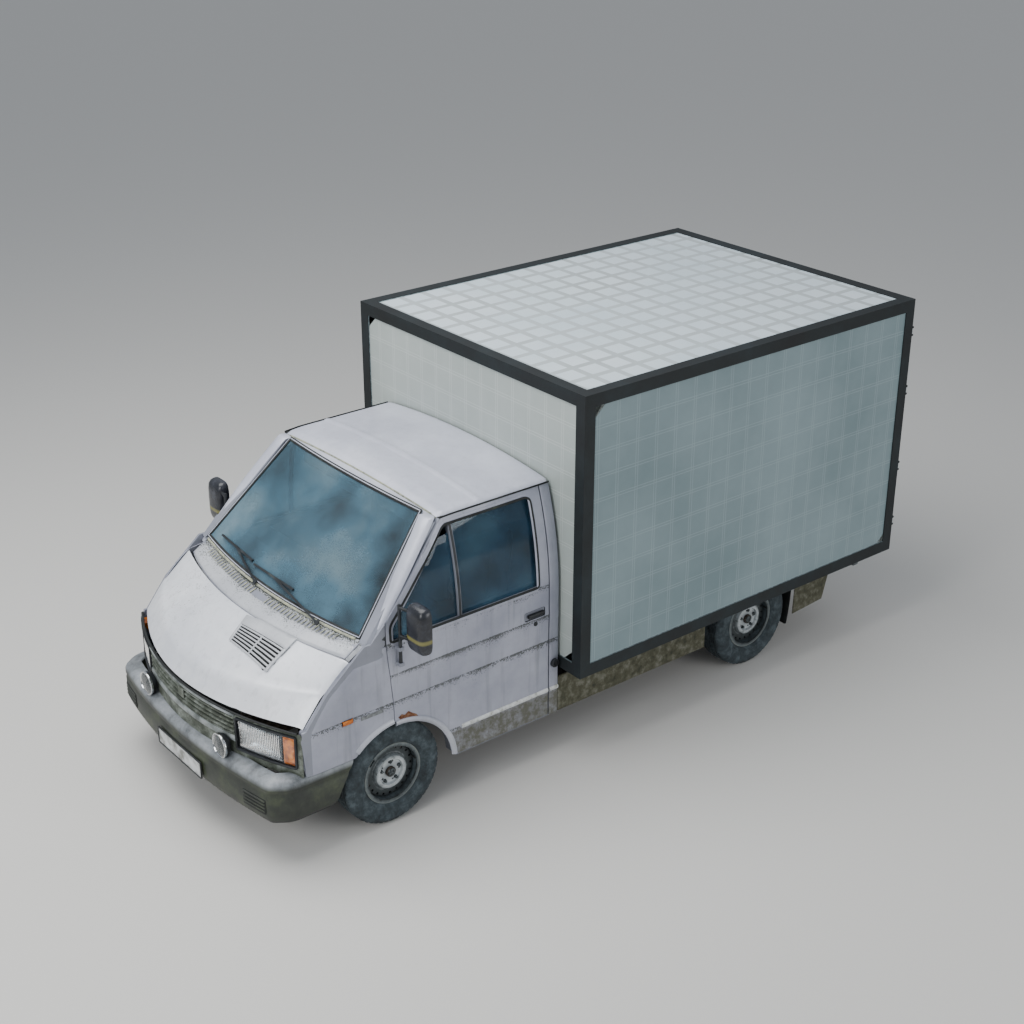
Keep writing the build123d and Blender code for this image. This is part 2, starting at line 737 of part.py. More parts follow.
# ---- cab doors, their glass, handles and mirrors -----------------------------------------------
window_slope_top = -1195
door_outline = [(door_rear, door_bottom), (door_rear, door_top), (-1200, door_top)] + door_front_edge
window_front = [(-1638, window_bottom), (-1638, 1314), (window_slope_top, window_top)]
window_hole = [(window_rear, window_bottom), (window_rear, window_top)] + window_front[::-1]
cavity = [(door_rear - 14, door_bottom + 16), (door_rear - 14, door_waist - 20), (-1645, door_waist - 20),
          (-1615, 822), (-1610, door_bottom + 16)]
glass_front = divider_y + divider_width / 2 - glass_lap
mirror_pivot = (962, -1590)
mirror_post_radius = 11
whole_side = (600, 1000)        # x range that takes in the whole cab side
lug_low = 1060
lug_high = 1160

with BuildPart() as door_left:
    side_band(0, door_depth, door_bottom, door_waist, -1670, door_rear)
    side_band(0, frame_depth, door_waist, door_top, -1670, door_rear)
    side_plate(door_outline, *whole_side, arch_radius, Mode.INTERSECT)
    side_plate(window_hole, *whole_side, 0, Mode.SUBTRACT)
    side_band(0, frame_depth, window_bottom - 8, window_top + 8,
              divider_y - divider_width / 2, divider_y + divider_width / 2)
    side_plate(cavity, cab_half_width - door_depth + door_skin, cab_half_width - door_skin, arch_radius + 16,
               Mode.SUBTRACT)
    side_band(glass_inset - 2, glass_inset + glass_thickness + 2, door_waist - 60, window_top + glass_lap + 2,
              glass_front - 2, window_rear + glass_lap + 2, Mode.SUBTRACT)
    for z in (lug_low, lug_high):
        block((cab_half_width - 1, mirror_pivot[1] - 16, z),
              (mirror_pivot[0] + 16, mirror_pivot[1] + 16, z + 20))
        rod((*mirror_pivot, z - 1), (*mirror_pivot, z + 21), mirror_post_radius + running_gap, Mode.SUBTRACT)
door_right = mirrored(door_left)
keep(door_left, "door_left")
keep(door_right, "door_right")

with BuildPart() as window_left:
    side_band(glass_inset, glass_inset + glass_thickness, window_bottom - glass_lap, window_top + glass_lap,
              glass_front, window_rear + glass_lap)
window_right = mirrored(window_left)
keep(window_left, "window_left")
keep(window_right, "window_right")

handle_spot = (-585, 1041)
handle_length = 130

with BuildPart() as handle_left:
    face = cab_half_width + 0.5
    block((face, handle_spot[0] - handle_length / 2, handle_spot[1] - 14),
          (face + 6, handle_spot[0] - handle_length / 2 + 22, handle_spot[1] + 14))
    block((face + 6, handle_spot[0] - handle_length / 2, handle_spot[1] - 14),
          (face + 22, handle_spot[0] + handle_length / 2, handle_spot[1] + 14))
handle_right = mirrored(handle_left)
keep(handle_left, "handle_left")
keep(handle_right, "handle_right")

mirror_low = (1020, -1600, 1195)
mirror_high = (1190, -1530, 1490)

with BuildPart() as mirror_left:
    block(mirror_low, mirror_high)
    fillet(mirror_left.edges(), radius=22)
    for z in (1240, 1420):
        block((mirror_pivot[0], mirror_pivot[1] - 12, z), (mirror_low[0] + 6, mirror_pivot[1] + 12, z + 22))
    rod((*mirror_pivot, lug_low - 4), (*mirror_pivot, 1452), mirror_post_radius)
mirror_right = mirrored(mirror_left)
keep(mirror_left, "mirror_left")
keep(mirror_right, "mirror_right")

# ---- fuel cap ----------------------------------------------------------------------------------
cap_spot = (-436, 654)
with BuildPart() as fuel_cap:
    rod((cab_half_width + 0.5, *cap_spot), (cab_half_width + 16, *cap_spot), 28)
    block((cab_half_width + 16, cap_spot[0] - 5, cap_spot[1] - 24),
          (cab_half_width + 24, cap_spot[0] + 5, cap_spot[1] + 24))
keep(fuel_cap, "fuel_cap")

# ---- seats -------------------------------------------------------------------------------------
seat_x = 440
seat_width = 500
seat_front = -1080
seat_rear = -560
cushion_low = 760
cushion_high = 890
seat_floor = cab_floor_bottom + sheet

with BuildPart() as seat_base:
    for side in (-1, 1):
        half = seat_width / 2 - 30
        for edge in (-half, half - 20):
            left = side * seat_x + edge
            block((left, seat_front + 60, seat_floor), (left + 20, seat_rear - 20, cushion_low - 30))
        block((side * seat_x - half, seat_front + 60, cushion_low - 30),
              (side * seat_x + half, seat_rear - 20, cushion_low - 22))
keep(seat_base, "seat_base")

lean = [(-640, cushion_high + 4), (-520, 1500), (-610, 1500), (-700, cushion_high + 120),
        (-720, cushion_high + 4)]
head_lean = [(-535, 1540), (-500, 1725), (-585, 1725), (-620, 1540)]


def make_seat(x):
    """Seat cushion, backrest and headrest with its two posts."""
    with BuildPart() as seat:
        block((x - seat_width / 2, seat_front, cushion_low - 20),
              (x + seat_width / 2, seat_rear, cushion_high))
        block((x - seat_width / 2 + 20, -700, cushion_high - 6),
              (x + seat_width / 2 - 20, -650, cushion_high + 10))
        prism(lean, Plane.YZ.offset(x - seat_width / 2 + 10), seat_width - 20)
        prism(head_lean, Plane.YZ.offset(x - 130), 260)
        for post in (-60, 60):
            rod((x + post, -566, 1490), (x + post, -558, 1550), 7)
    return seat


driver_seat = make_seat(seat_x)
passenger_seat = make_seat(-seat_x)
keep(driver_seat, "driver_seat")
keep(passenger_seat, "passenger_seat")

# ---- dashboard, steering wheel, pedals and levers ----------------------------------------------
dash_profile = [(-1550, 1225), (-1550, 960), (-1470, 900), (-1400, 960), (-1330, 1130), (-1370, 1215)]
wheel_middle = (440, -1215, 1165)
column_dir = Vector(0, -cos(radians(38)), -sin(radians(38)))
wheel_ring = 195
wheel_grip = 14

with BuildPart() as dashboard:
    prism(dash_profile, Plane.YZ.offset(-820), 1640)
    dash_hollow = [(-1544, 1218), (-1544, 966), (-1470, 910), (-1406, 966), (-1338, 1130), (-1374, 1208)]
    prism(dash_hollow, Plane.YZ.offset(-812), 1624, Mode.SUBTRACT)
    column_start = Vector(*wheel_middle) + column_dir * 60
    rod(tuple(column_start), tuple(Vector(*wheel_middle) + column_dir * 200), 30)
    rod(tuple(Vector(*wheel_middle) + column_dir * 40), tuple(Vector(*wheel_middle) + column_dir * 160),
        18 + running_gap, Mode.SUBTRACT)
keep(dashboard, "dashboard")

with BuildPart() as steering_wheel:
    rim_plane = Plane(origin=wheel_middle, x_dir=(1, 0, 0), z_dir=-column_dir)
    with Locations(rim_plane):
        Torus(wheel_ring, wheel_grip)
    with BuildSketch(rim_plane.offset(-8)) as spokes:
        Circle(60)
        for angle in (10, 90, 170):
            with PolarLocations((wheel_ring) / 2, 1, start_angle=angle + 180):
                Rectangle(wheel_ring - 8, 34)
    extrude(spokes.sketch, amount=14)
    rod(wheel_middle, tuple(Vector(*wheel_middle) + column_dir * 130), 18)
keep(steering_wheel, "steering_wheel")

pedal_pivot = (-1500, 880)


def make_pedal(x, width):
    """Hanging pedal: arm from its pivot down to a pad."""
    with BuildPart() as pedal:
        arm = [(pedal_pivot[0] - 8, pedal_pivot[1] + 10), (pedal_pivot[0] + 8, pedal_pivot[1] + 10),
               (pedal_pivot[0] + 70, 660), (pedal_pivot[0] + 54, 660)]
        side_plate(arm, x - 6, x + 6)
        pad = [(pedal_pivot[0] + 44, 620), (pedal_pivot[0] + 56, 620), (pedal_pivot[0] + 84, 700),
               (pedal_pivot[0] + 72, 700)]
        side_plate(pad, x - width / 2, x + width / 2)
    return pedal


clutch_pedal = make_pedal(506, 60)
brake_pedal = make_pedal(430, 60)
accelerator_pedal = make_pedal(345, 45)
keep(clutch_pedal, "clutch_pedal")
keep(brake_pedal, "brake_pedal")
keep(accelerator_pedal, "accelerator_pedal")

with BuildPart() as gear_lever:
    rod((120, -1180, 556), (120, -1120, 830), 7)
    with Locations((120, -1118, 850)):
        Sphere(26)
keep(gear_lever, "gear_lever")

with BuildPart() as handbrake:
    rod((60, -900, 600), (60, -690, 680), 12)
    rod((60, -690, 680), (60, -580, 722), 17)
keep(handbrake, "handbrake")

# ---- box body ----------------------------------------------------------------------------------
with BuildPart() as box_floor:
    block((-box_half_width + bar_wall + 20, box_front + bar_wall + 20, box_floor_bottom),
          (box_half_width - bar_wall - 20, box_rear - leaf_thickness - 12,
           box_floor_bottom + box_floor_thickness))
keep(box_floor, "box_floor")

outer_low = (-box_half_width, box_front, box_bottom)
outer_high = (box_half_width, box_rear, box_top)


def shrunk(low, high, *insets):
    """The same corner pair pulled in by an inset along X, Y and Z."""
    return tuple(a + i for a, i in zip(low, insets)), tuple(b - i for b, i in zip(high, insets))


with BuildPart() as box_frame:
    block(outer_low, outer_high)
    block(*shrunk(outer_low, outer_high, bar_wall, bar_wall, bar_wall), Mode.SUBTRACT)
    block(*shrunk(outer_low, outer_high, -5, bar_width, bar_width), Mode.SUBTRACT)
    block(*shrunk(outer_low, outer_high, bar_width, -5, bar_width), Mode.SUBTRACT)
    block(*shrunk(outer_low, outer_high, bar_width, bar_width, -5), Mode.SUBTRACT)
    for side in (-1, 1):
        for z in strap_heights:
            for low in (z - 20 - saddle_gap - saddle_height, z + 20 + saddle_gap):
                saddle = sorted((side * (hinge_pin_x - 12), side * (hinge_pin_x + 12)))
                block((saddle[0], box_rear, low),
                      (saddle[1], hinge_pin_y + hinge_pin_radius, low + saddle_height))
keep(box_frame, "box_frame")

behind = bar_wall + panel_thickness
edge = bar_width - panel_lap
with BuildPart() as box_panels:
    for side in (-1, 1):
        faces = sorted((side * (box_half_width - bar_wall), side * (box_half_width - behind)))
        block((faces[0], box_front + edge, box_bottom + edge), (faces[1], box_rear - edge, box_top - edge))
    block((-box_half_width + edge, box_front + bar_wall, box_bottom + edge),
          (box_half_width - edge, box_front + behind, box_top - edge))
    block((-box_half_width + edge, box_front + edge, box_top - behind),
          (box_half_width - edge, box_rear - edge, box_top - bar_wall))
keep(box_panels, "box_panels")

# ---- rear doors with strap hinges and lock rods ------------------------------------------------
leaf_edge = box_half_width - bar_width - 4
leaf_low = box_bottom + bar_width + 4
leaf_high = box_top - bar_width - 4
leaf_face = box_rear - 4
bracket_heights = (760, 1140, 1900, 2280)
rod_line_y = leaf_face + 16

with BuildPart() as rear_door_left:
    block((3, leaf_face - leaf_thickness, leaf_low), (leaf_edge, leaf_face, leaf_high))
    block((63, leaf_face - leaf_thickness - 1, leaf_low + 60),
          (leaf_edge - 60, leaf_face - leaf_skin, leaf_high - 60), Mode.SUBTRACT)
    for z in strap_heights:
        block((leaf_edge - 200, leaf_face, z - 20), (leaf_edge + 2, leaf_face + 11, z + 20))
        block((leaf_edge, box_rear + 3, z - 20), (hinge_pin_x, box_rear + 7, z + 20))
        rod((hinge_pin_x, hinge_pin_y, z - 20), (hinge_pin_x, hinge_pin_y, z + 20), hinge_pin_radius)
    for z in bracket_heights:
        block((lock_rod_x - 24, leaf_face, z - 15), (lock_rod_x + 24, rod_line_y + 9, z + 15))
        rod((lock_rod_x, rod_line_y, z - 16), (lock_rod_x, rod_line_y, z + 16),
            lock_rod_radius + running_gap, Mode.SUBTRACT)
rear_door_right = mirrored(rear_door_left)
keep(rear_door_left, "rear_door_left")
keep(rear_door_right, "rear_door_right")

with BuildPart() as lock_bar_left:
    rod((lock_rod_x, rod_line_y, leaf_low + 6), (lock_rod_x, rod_line_y, leaf_high - 6), lock_rod_radius)
    block((lock_rod_x, rod_line_y - 4, 1300), (lock_rod_x + 330, rod_line_y + 4, 1330))
lock_bar_right = mirrored(lock_bar_left)
keep(lock_bar_left, "lock_bar_left")
keep(lock_bar_right, "lock_bar_right")

# ---- side skirts and rear bar ------------------------------------------------------------------
skirt_rear = 888
skirt_top = rail_top - 4
with BuildPart() as side_skirts:
    for side in (-1, 1):
        faces = sorted((side * (cab_half_width - 6), side * cab_half_width))
        block((faces[0], cab_back_face + 4, sill_bottom), (faces[1], skirt_rear, skirt_top))
        tail = [(1758, 251), (2057, 273), (2106, 456), (2106, skirt_top), (1766, skirt_top)]
        prism(tail, Plane.YZ.offset(faces[0]), 6)
keep(side_skirts, "side_skirts")

with BuildPart() as rear_bumper:
    block((-920, rear_bar_face - 50, 420), (920, rear_bar_face, 520))
    block((-914, rear_bar_face - 44, 426), (914, rear_bar_face - 6, 514), Mode.SUBTRACT)
keep(rear_bumper, "rear_bumper")
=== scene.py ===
import math

import bmesh
import bpy
import numpy as np
from mathutils import Matrix, Vector, geometry


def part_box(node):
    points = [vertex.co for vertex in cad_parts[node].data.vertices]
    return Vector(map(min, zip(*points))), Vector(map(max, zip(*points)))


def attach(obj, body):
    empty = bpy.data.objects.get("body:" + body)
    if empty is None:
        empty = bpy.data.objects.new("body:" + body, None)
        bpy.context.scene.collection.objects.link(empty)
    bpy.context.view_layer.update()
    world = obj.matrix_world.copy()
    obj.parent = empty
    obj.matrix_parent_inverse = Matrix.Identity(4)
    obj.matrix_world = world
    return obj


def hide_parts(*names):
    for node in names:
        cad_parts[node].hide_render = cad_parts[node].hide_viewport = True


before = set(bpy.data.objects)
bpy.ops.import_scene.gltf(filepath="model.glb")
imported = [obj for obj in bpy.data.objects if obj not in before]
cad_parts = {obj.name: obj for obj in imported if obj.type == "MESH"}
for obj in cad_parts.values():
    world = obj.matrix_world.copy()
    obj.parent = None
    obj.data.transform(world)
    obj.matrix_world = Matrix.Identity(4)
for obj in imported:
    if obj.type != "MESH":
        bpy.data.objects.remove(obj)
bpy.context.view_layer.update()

# ---- Camera -------------------------------------------------------------------------------------
# A long-lens view from above the left headlamp, level, so the front, left side and roof all show.
camera_data = bpy.data.cameras.new("camera")
camera_data.sensor_width = 36
camera_data.lens = 58.566
camera = bpy.data.objects.new("camera", camera_data)
camera.location = (7.7471, -6.2195, 5.8201)
camera.rotation_euler = (math.radians(90 - 24.9), 0, math.radians(51.305))
bpy.context.scene.collection.objects.link(camera)
bpy.context.scene.camera = camera

# ---- Light --------------------------------------------------------------------------------------
# Soft studio light: one wide overhead panel, a broad front panel and a low fill on the left side.
world = bpy.data.worlds.new("studio")
bpy.context.scene.world = world
world.use_nodes = True
world.node_tree.nodes["Background"].inputs["Color"].default_value = (0.8, 0.86, 0.95, 1)
world.node_tree.nodes["Background"].inputs["Strength"].default_value = 0.55
for lamp_name, spot, aim, size, watts in (("overhead", (-1.0, -2.5, 7.5), (0, -0.5, 1), 7.0, 620),
        ("front", (2.5, -8.5, 4.5), (0, -2, 1), 4.0, 260), ("left_fill", (9.5, 2.5, 3.6), (0, 0.5, 1), 5.0,
        260)):
    lamp_data = bpy.data.lights.new(lamp_name, "AREA")
    lamp_data.shape = "DISK"
    lamp_data.size = size
    lamp_data.energy = watts
    lamp = bpy.data.objects.new(lamp_name, lamp_data)
    lamp.location = spot
    lamp.rotation_euler = (Vector(aim) - Vector(spot)).to_track_quat("-Z", "Y").to_euler()
    bpy.context.scene.collection.objects.link(lamp)


# ---- Studio floor -------------------------------------------------------------------------------
# A wide pale matt floor under the tyres; it isn't part of the truck.
def shade(code):
    """Linear RGBA of an sRGB hex colour such as 9698A5."""
    parts = [int(code[i:i + 2], 16) / 255 for i in (0, 2, 4)]
    return tuple((c / 12.92 if c <= 0.04045 else ((c + 0.055) / 1.055) ** 2.4 for c in parts)) + (1,)


def feed(node, key, value):
    """Fill one input of a node with a plain value or with another node's output."""
    if isinstance(value, bpy.types.Node):
        value = next((output for output in value.outputs if output.enabled))
    if isinstance(value, bpy.types.NodeSocket):
        node.id_data.links.new(value, node.inputs[key])
    else:
        node.inputs[key].default_value = value


def add_node(tree, kind, *values, stops=(), use_clamp=False, **links):
    """Add a node, such as "TexNoise" or "Math ADD", and fill its inputs in order or by name."""
    kind, *operation = kind.split()
    node = tree.nodes.new("ShaderNode" + kind)
    if operation:
        node.operation = operation[0]
    if kind == "Math":
        node.use_clamp = use_clamp
    if kind == "Mix":
        node.data_type = "RGBA"
    for _ in stops[2:]:
        node.color_ramp.elements.new(0.5)
    for element, (position, colour) in zip(node.color_ramp.elements if stops else (), stops):
        element.position = position
        element.color = shade(colour)
    for key, value in (*enumerate(values), *links.items()):
        feed(node, key, value)
    return node


def new_material(name, **values):
    """A material with its node tree and its surface shader, set to plain values."""
    material = bpy.data.materials.new(name)
    material.use_nodes = True
    shader = material.node_tree.nodes["Principled BSDF"]
    for key, value in values.items():
        shader.inputs[key.replace("_", " ")].default_value = value
    return (material, material.node_tree, shader)


def build(name, points, faces):
    """Mesh object from points and faces."""
    mesh = bpy.data.meshes.new(name)
    mesh.from_pydata([tuple(p) for p in points], [], faces)
    mesh.update()
    piece = bpy.data.objects.new(name, mesh)
    bpy.context.scene.collection.objects.link(piece)
    return piece


floor_half = 40
floor = build("studio_floor", [(-floor_half, -floor_half, 0), (floor_half, -floor_half, 0),
    (floor_half, floor_half, 0), (-floor_half, floor_half, 0)], [(0, 1, 2, 3)])
floor_paint, _, floor_shader = new_material("pale_studio_floor", Roughness=0.9)
floor_shader.inputs["Base Color"].default_value = shade("CFCDC8")
floor.data.materials.append(floor_paint)


# ---- Cab paint ----------------------------------------------------------------------------------
# Two-coat metallic paint, thirty years old: dulled clear coat, rain streaks, black-green algae that
# hangs under each crease, speckled grit, and olive road grime rising from the sills.
def weathered_paint(name, base, pale, lines=(), grime=0.0, algae=0.5, gloss=0.38, streak=0.5):
    """Aged body paint; lines are the heights in metres of creases that hold algae."""
    material, tree, shader = new_material(name, Metallic=0.15, Roughness=gloss, Coat_Weight=0.25)
    where = add_node(tree, "TexCoord").outputs["Object"]
    height = add_node(tree, "SeparateXYZ", where).outputs["Z"]
    cloud = add_node(tree, "TexNoise", where, Scale=2.2, Detail=6.0, Roughness=0.62)
    tone = add_node(tree, "ValToRGB", cloud, stops=[(0.36, base), (0.68, pale)])
    stretch = add_node(tree, "Mapping", where, Scale=(26.0, 26.0, 1.6))
    run = add_node(tree, "TexNoise", stretch, Scale=1.0, Detail=5.0)
    run_mask = add_node(tree, "MapRange", run, 0.56, 0.78, 0.0, streak)
    streaked = add_node(tree, "Mix", run_mask, A=tone, B=shade("6C7072"))
    speck = add_node(tree, "TexNoise", where, Scale=120.0, Detail=3.0, Roughness=0.7)
    patch = add_node(tree, "TexNoise", where, Scale=7.0, Detail=4.0)
    band = None
    for line in lines:
        under = add_node(tree, "MapRange", height, line - 0.11, line, 0.0, 1.0)
        over = add_node(tree, "MapRange", height, line + 0.004, line + 0.016, 1.0, 0.0)
        one = add_node(tree, "Math MULTIPLY", under, over)
        one = add_node(tree, "Math POWER", one, 2.2)
        band = one if band is None else add_node(tree, "Math MAXIMUM", band, one)
    held = band if band else 0.0
    amount = add_node(tree, "Math MULTIPLY_ADD", held, 0.34, speck)
    amount = add_node(tree, "Math MULTIPLY_ADD", patch, 0.42, amount)
    algae_mask = add_node(tree, "MapRange", amount, 0.94, 1.04, 0.0, algae)
    mossy = add_node(tree, "Mix", algae_mask, A=streaked, B=shade("262B20"))
    low = add_node(tree, "MapRange", height, grime - 0.02, grime + 0.03, 1.0, 0.0)
    splash = add_node(tree, "TexNoise", where, Scale=16.0, Detail=8.0, Roughness=0.75)
    low = add_node(tree, "Math MULTIPLY", low, splash)
    low = add_node(tree, "MapRange", low, 0.18, 0.56, 0.0, 0.9)
    dirty = add_node(tree, "Mix", low, A=mossy, B=shade("4B4A35"))
    feed(shader, "Base Color", dirty)
    dull = add_node(tree, "MapRange", splash, 0.3, 0.75, gloss - 0.08, gloss + 0.22)
    feed(shader, "Roughness", dull)
    grit = add_node(tree, "Bump", Height=speck, Strength=0.12, Distance=0.001)
    dents = add_node(tree, "Bump", Height=cloud, Strength=0.25, Distance=0.004, Normal=grit)
    feed(shader, "Normal", dents)
    return material


def toned(name, stops, scale, detail, roughness=0.5, bump=0.0, depth=0.001, grain=0.0, **values):
    """Material whose colour wanders through stops, dented by the same cloud or by a finer grain."""
    material, tree, shader = new_material(name, **values)
    where = add_node(tree, "TexCoord").outputs["Object"]
    cloud = add_node(tree, "TexNoise", where, Scale=scale, Detail=detail, Roughness=roughness)
    feed(shader, "Base Color", add_node(tree, "ValToRGB", cloud, stops=stops))
    if bump:
        height = add_node(tree, "TexNoise", where, Scale=grain, Detail=2.0) if grain else cloud
        feed(shader, "Normal", add_node(tree, "Bump", Height=height, Strength=bump, Distance=depth))
    return material


crease_height = 0.82
soft_crease_height = 1.0
moulding_height = 0.475
belt_trim_height = 1.206
side_paint = weathered_paint("aged_silver_paint_on_the_sides", "8F92A0", "ABADB9",
    (crease_height, moulding_height), grime=moulding_height - 0.01, algae=0.85)
door_paint = weathered_paint("aged_silver_paint_on_the_doors", "8F92A0", "ABADB9",
    (crease_height, soft_crease_height, moulding_height, belt_trim_height), grime=moulding_height - 0.01,
    algae=0.85)
# Painted light: the bonnet copy of the cab paint is made nearly white for its lit top.
bonnet_paint = weathered_paint("silver_paint_on_the_bonnet_lightened_as_painted_light", "D6D9DF", "EEF0F3", algae=0.35,
    gloss=0.32, streak=0.22)
# Painted light: the roof copy of the cab paint is lighter than the sides for its lit top.
roof_paint = weathered_paint("aged_silver_paint_on_the_roof_lightened_as_painted_light", "B0B3C0", "C8CBD6", algae=0.35, streak=0.15)
cowl_paint = weathered_paint("mossy_silver_paint_at_the_cowl", "B4B7BC", "CBCDD0", (1.236,), algae=0.95,
    streak=0.3)
inner_paint = weathered_paint("plain_silver_paint_inside", "80838E", "8F929C", algae=0.3)

# ---- Left and right cab sides -------------------------------------------------------------------
# Pressed steel outer skins over the welded cab frame: front wing, rear post, and the wheel-arch lip.
cab_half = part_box("cab_side_left")[1].x
belt = 1.15
side_radius = 2.055
skin_proud = 0.004
skin_sheet = 0.003
arch_y = -1.605
arch_z = 0.275
arch_radius = 0.41
seam_points = ((-1.91, 1.175), (-2.069, 1.042), (-2.216, 0.859))


def seam_height(y):
    """Height of the bonnet's side shut line at y: a smooth curve through three measured points."""
    total = 0.0
    for index, (py, pz) in enumerate(seam_points):
        others = [seam_points[k][0] for k in range(3) if k != index]
        total += pz * (y - others[0]) * (y - others[1]) / ((py - others[0]) * (py - others[1]))
    return total


def side_surface(y, z, proud=skin_proud):
    """Point on the left cab side: flat below the belt, curving in above it, with creases."""
    rise = max(z - belt, 0)
    x = cab_half - side_radius + math.sqrt(side_radius ** 2 - rise ** 2) + proud
    x -= 0.0035 * max(0, 1 - abs(z - crease_height) / 0.007)
    x += 0.003 * math.exp(-((z - soft_crease_height) / 0.03) ** 2)
    if y < -1.70:
        below = seam_height(min(y, -1.905)) - z if y < -1.905 else 1.19 - z
        if below < 0.09:
            x -= 0.028 * (1 - max(below, 0) / 0.09) ** 2
        if y < -2.14:
            x -= 0.016 * ((-2.14 - y) / 0.1) ** 2
    return Vector((x, y, z))


def rounded(points, radius, steps=5):
    """Closed outline with its corners rounded; radius is one value or one for each corner."""
    radii = radius if isinstance(radius, (list, tuple)) else [radius] * len(points)
    outline = []
    for index, corner in enumerate(points):
        before = Vector(points[index - 1]) - Vector(corner)
        after = Vector(points[(index + 1) % len(points)]) - Vector(corner)
        reach = min(radii[index], before.length * 0.45, after.length * 0.45)
        if reach < 1e-5:
            outline.append(tuple(corner))
            continue
        start = Vector(corner) + before.normalized() * reach
        end = Vector(corner) + after.normalized() * reach
        for step in range(steps + 1):
            t = step / steps
            outline.append(tuple(start * (1 - t) ** 2 + Vector(corner) * 2 * t * (1 - t) + end * t * t))
    return outline


def rectangle(u_low, u_high, v_low, v_high):
    """Corners of a rectangle in two coordinates."""
    return [(u_low, v_low), (u_high, v_low), (u_high, v_high), (u_low, v_high)]


def inside(points, loop):
    """Which of the points lie inside a closed loop."""
    points = np.asarray(points, float)
    result = np.zeros(len(points), bool)
    for (ax, ay), (bx, by) in zip(loop, loop[1:] + loop[:1]):
        crosses = (ay > points[:, 1]) != (by > points[:, 1])
        with np.errstate(divide="ignore", invalid="ignore"):
            cut = (bx - ax) * (points[:, 1] - ay) / (by - ay) + ax
        result ^= crosses & (points[:, 0] < cut)
    return result


def smooth(piece, angle=38):
    """Shade a piece smooth except at corners sharper than angle."""
    piece.data.shade_smooth()
    piece.data.set_sharp_from_angle(angle=math.radians(angle))
    return piece


def recalculate(piece, merge=0.0):
    """Turn a mesh's faces outwards, after merging points that are closer than merge."""
    mesh = bmesh.new()
    mesh.from_mesh(piece.data)
    if merge:
        bmesh.ops.remove_doubles(mesh, verts=mesh.verts, dist=merge)
    bmesh.ops.recalc_face_normals(mesh, faces=mesh.faces)
    mesh.to_mesh(piece.data)
    mesh.free()
    return piece


def loft(name, rings, cap=True, closed=False, angle=38, merge=0.0):
    """Smooth surface through rings of equally many points; closed joins the last ring to the first."""
    count = len(rings[0])
    last = len(rings) - 1
    faces = [(r * count + k, r * count + (k + 1) % count, (r + 1) % len(rings) * count + (k + 1) % count,
        (r + 1) % len(rings) * count + k) for r in range(last + closed) for k in range(count)]
    if cap and not closed:
        faces += [tuple(reversed(range(count))), tuple((last * count + k for k in range(count)))]
    return smooth(recalculate(build(name, [p for ring in rings for p in ring], faces), merge), angle)


def settle(piece, angle=38):
    """Apply a piece's modifiers and shade it smooth."""
    result = bpy.data.meshes.new_from_object(piece.evaluated_get(bpy.context.evaluated_depsgraph_get()))
    piece.modifiers.clear()
    piece.data = result
    return smooth(piece, angle)


def turn_out(piece, axis, sign=1):
    """Flip a skin's faces if most of them look away from the given side."""
    if sign * sum(face.normal[axis] for face in piece.data.polygons) < 0:
        piece.data.flip_normals()


def thicken(piece, sheet, edge, angle=38):
    """Give a skin its sheet thickness, inwards, and round its cut edges."""
    if sheet:
        solid = piece.modifiers.new("sheet", "SOLIDIFY")
        solid.thickness = sheet
        solid.offset = -1
    if edge:
        bevel = piece.modifiers.new("edge", "BEVEL")
        bevel.width = edge
        bevel.segments = 2
        bevel.limit_method = "ANGLE"
        bevel.angle_limit = math.radians(50)
    return settle(piece, angle)


def skin(name, outline, surface, sheet=skin_sheet, holes=(), pitch=0.035, rows=(), edge=0.0012):
    """Curved sheet cut to an outline drawn in two coordinates and laid on a surface."""
    points = []
    edges = []
    loops = []
    for loop in (outline, *holes):
        dense = []
        for a, b in zip(loop, loop[1:] + loop[:1]):
            count = max(1, math.ceil(math.dist(a, b) / pitch))
            dense += [(a[0] + (b[0] - a[0]) * k / count, a[1] + (b[1] - a[1]) * k / count)
                for k in range(count)]
        loops.append(dense)
        first = len(points)
        points += dense
        edges += [(first + k, first + (k + 1) % len(dense)) for k in range(len(dense))]
    low = np.min(loops[0], axis=0)
    high = np.max(loops[0], axis=0)
    for row in rows:
        first = len(points)
        count = max(2, math.ceil((high[0] - low[0]) / pitch))
        points += [(low[0] - 0.01 + (high[0] - low[0] + 0.02) * k / count, row) for k in range(count + 1)]
        edges += [(first + k, first + k + 1) for k in range(count)]
    spots = [(u + (0.5 * pitch if j % 2 else 0), v) for j, v in enumerate(np.arange(low[1] + pitch / 2,
        high[1], pitch * 0.87)) for u in np.arange(low[0] + pitch / 2, high[0], pitch)]
    if spots:
        keep = inside(spots, loops[0])
        for loop in loops[1:]:
            keep &= ~inside(spots, loop)
        rim = np.concatenate([np.array(loop) for loop in loops])
        for spot, wanted in zip(spots, keep):
            near_row = any((abs(spot[1] - row) < pitch * 0.3 for row in rows))
            if wanted and not near_row and np.min(np.hypot(*(rim - spot).T)) > pitch * 0.45:
                points.append(spot)
    flat, _, faces = geometry.delaunay_2d_cdt([Vector(p) for p in points], edges, [], 0, 1e-07)[:3]
    middles = [sum((flat[i] for i in face), Vector((0, 0))) / len(face) for face in faces]
    keep = inside(middles, loops[0])
    for loop in loops[1:]:
        keep &= ~inside(middles, loop)
    faces = [list(face) for face, wanted in zip(faces, keep) if wanted]
    used = sorted({i for face in faces for i in face})
    index = {old: new for new, old in enumerate(used)}
    piece = build(name, [surface(flat[i][0], flat[i][1]) for i in used],
        [[index[i] for i in f] for f in faces])
    return thicken(piece, sheet, edge)


def other_side(piece, name):
    """Mirror image of a piece for the other side of the truck."""
    mesh = piece.data.copy()
    mesh.transform(Matrix.Scale(-1, 4, (1, 0, 0)))
    mesh.flip_normals()
    twin = bpy.data.objects.new(name, mesh)
    bpy.context.scene.collection.objects.link(twin)
    return twin


